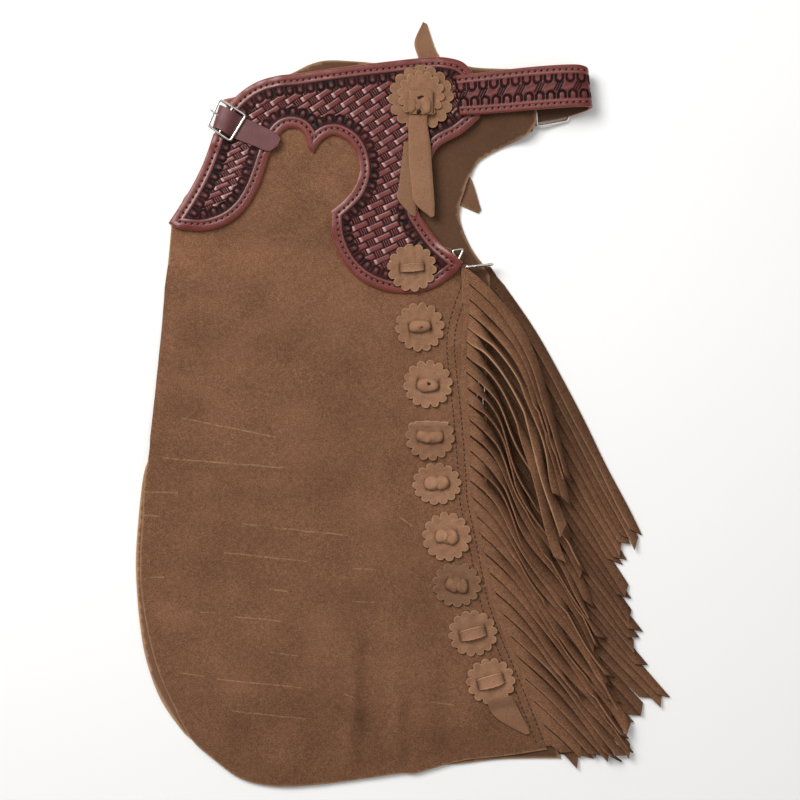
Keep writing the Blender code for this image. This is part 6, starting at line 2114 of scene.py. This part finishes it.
class CHAPS_OT_stage(bpy.types.Operator):
    """Sets out the pale floor, the soft lights and the camera over the chaps"""
    bl_idname = "chaps.stage"
    bl_label = "Floor, lights and camera"

    def execute(self, context):
        settings = context.scene.chaps_stage
        bpy.ops.object.select_all(action="DESELECT")
        bpy.ops.mesh.primitive_plane_add(size=8.0, location=(0, 0, 0))
        floor = bpy.context.object
        floor.name = "floor"
        floor.location = (0, 0, -0.0004)
        bpy.ops.object.transform_apply(location=True, rotation=True, scale=True)
        floor.data.materials.append(material_named("painted_board"))
        self.light("key_light", (-1.15, 1.25, 1.75), 1.3, settings.key_power)
        self.light("fill_light", (1.5, -0.6, 1.9), 2.4, settings.fill_power)
        self.light("top_light", (0.2, 0.9, 2.6), 2.0, settings.fill_power)
        world = bpy.data.worlds.new("studio")
        world.use_nodes = True
        world.node_tree.nodes["Background"].inputs[0].default_value = (1.0, 1.0, 1.0, 1.0)
        world.node_tree.nodes["Background"].inputs[1].default_value = 0.3
        context.scene.world = world
        context.scene.view_settings.view_transform = "Standard"
        middle = Vector((*board(CAMERA_ACROSS, CAMERA_DOWN), CAMERA_LEVEL)) * MM
        above = Vector((0, 0, settings.view_width * settings.lens / SENSOR_WIDTH))
        bpy.ops.object.camera_add(location=middle + above, rotation=(0, 0, 0))
        camera = bpy.context.object
        camera.name = "camera_over_chaps"
        camera.data.lens = settings.lens
        camera.data.sensor_width = SENSOR_WIDTH
        camera.data.clip_end = 20.0
        context.scene.camera = camera
        return {"FINISHED"}

    @staticmethod
    def light(name, place, size, power):
        bpy.ops.object.light_add(type="AREA", location=place)
        lamp = bpy.context.object
        lamp.name = name
        lamp.data.size = size
        lamp.data.energy = power
        lamp.rotation_euler = (-Vector(place)).to_track_quat("-Z", "Y").to_euler()


# The settings of the scene, and the pieces in the order in which they are laid down.
SETTINGS = {"chaps_leather": ChapsLeather, "chaps_tooling": ChapsTooling, "chaps_fringe": ChapsFringe,
            "chaps_stage": ChapsStage}
PIECES = ("legs", "fringes", "yokes", "belt", "rosettes", "ties", "front_strap", "fasteners", "stage")


class CHAPS_PT_panel(bpy.types.Panel):
    """The chaps' settings and the buttons that make each piece"""
    bl_idname = "CHAPS_PT_panel"
    bl_label = "Fringed Chaps"
    bl_space_type = "VIEW_3D"
    bl_region_type = "UI"
    bl_category = "Chaps"

    def draw(self, context):
        for settings in SETTINGS:
            group = getattr(context.scene, settings)
            box = self.layout.box()
            for name in group.__annotations__:
                box.prop(group, name)
        for piece in PIECES:
            self.layout.operator("chaps." + piece)


CLASSES = (
    *SETTINGS.values(), CHAPS_OT_legs, CHAPS_OT_fringes, CHAPS_OT_yokes, CHAPS_OT_belt,
    CHAPS_OT_rosettes, CHAPS_OT_ties, CHAPS_OT_front_strap, CHAPS_OT_fasteners, CHAPS_OT_stage,
    CHAPS_PT_panel,
)


def register():
    for item in CLASSES:
        bpy.utils.register_class(item)
    for name, group in SETTINGS.items():
        setattr(bpy.types.Scene, name, PointerProperty(type=group))


def unregister():
    for name in SETTINGS:
        delattr(bpy.types.Scene, name)
    for item in reversed(CLASSES):
        bpy.utils.unregister_class(item)


def main():
    register()
    bpy.ops.object.select_all(action="DESELECT")
    for piece in PIECES:
        getattr(bpy.ops.chaps, piece)()
    bpy.context.view_layer.update()


if __name__ == "__main__":
    main()
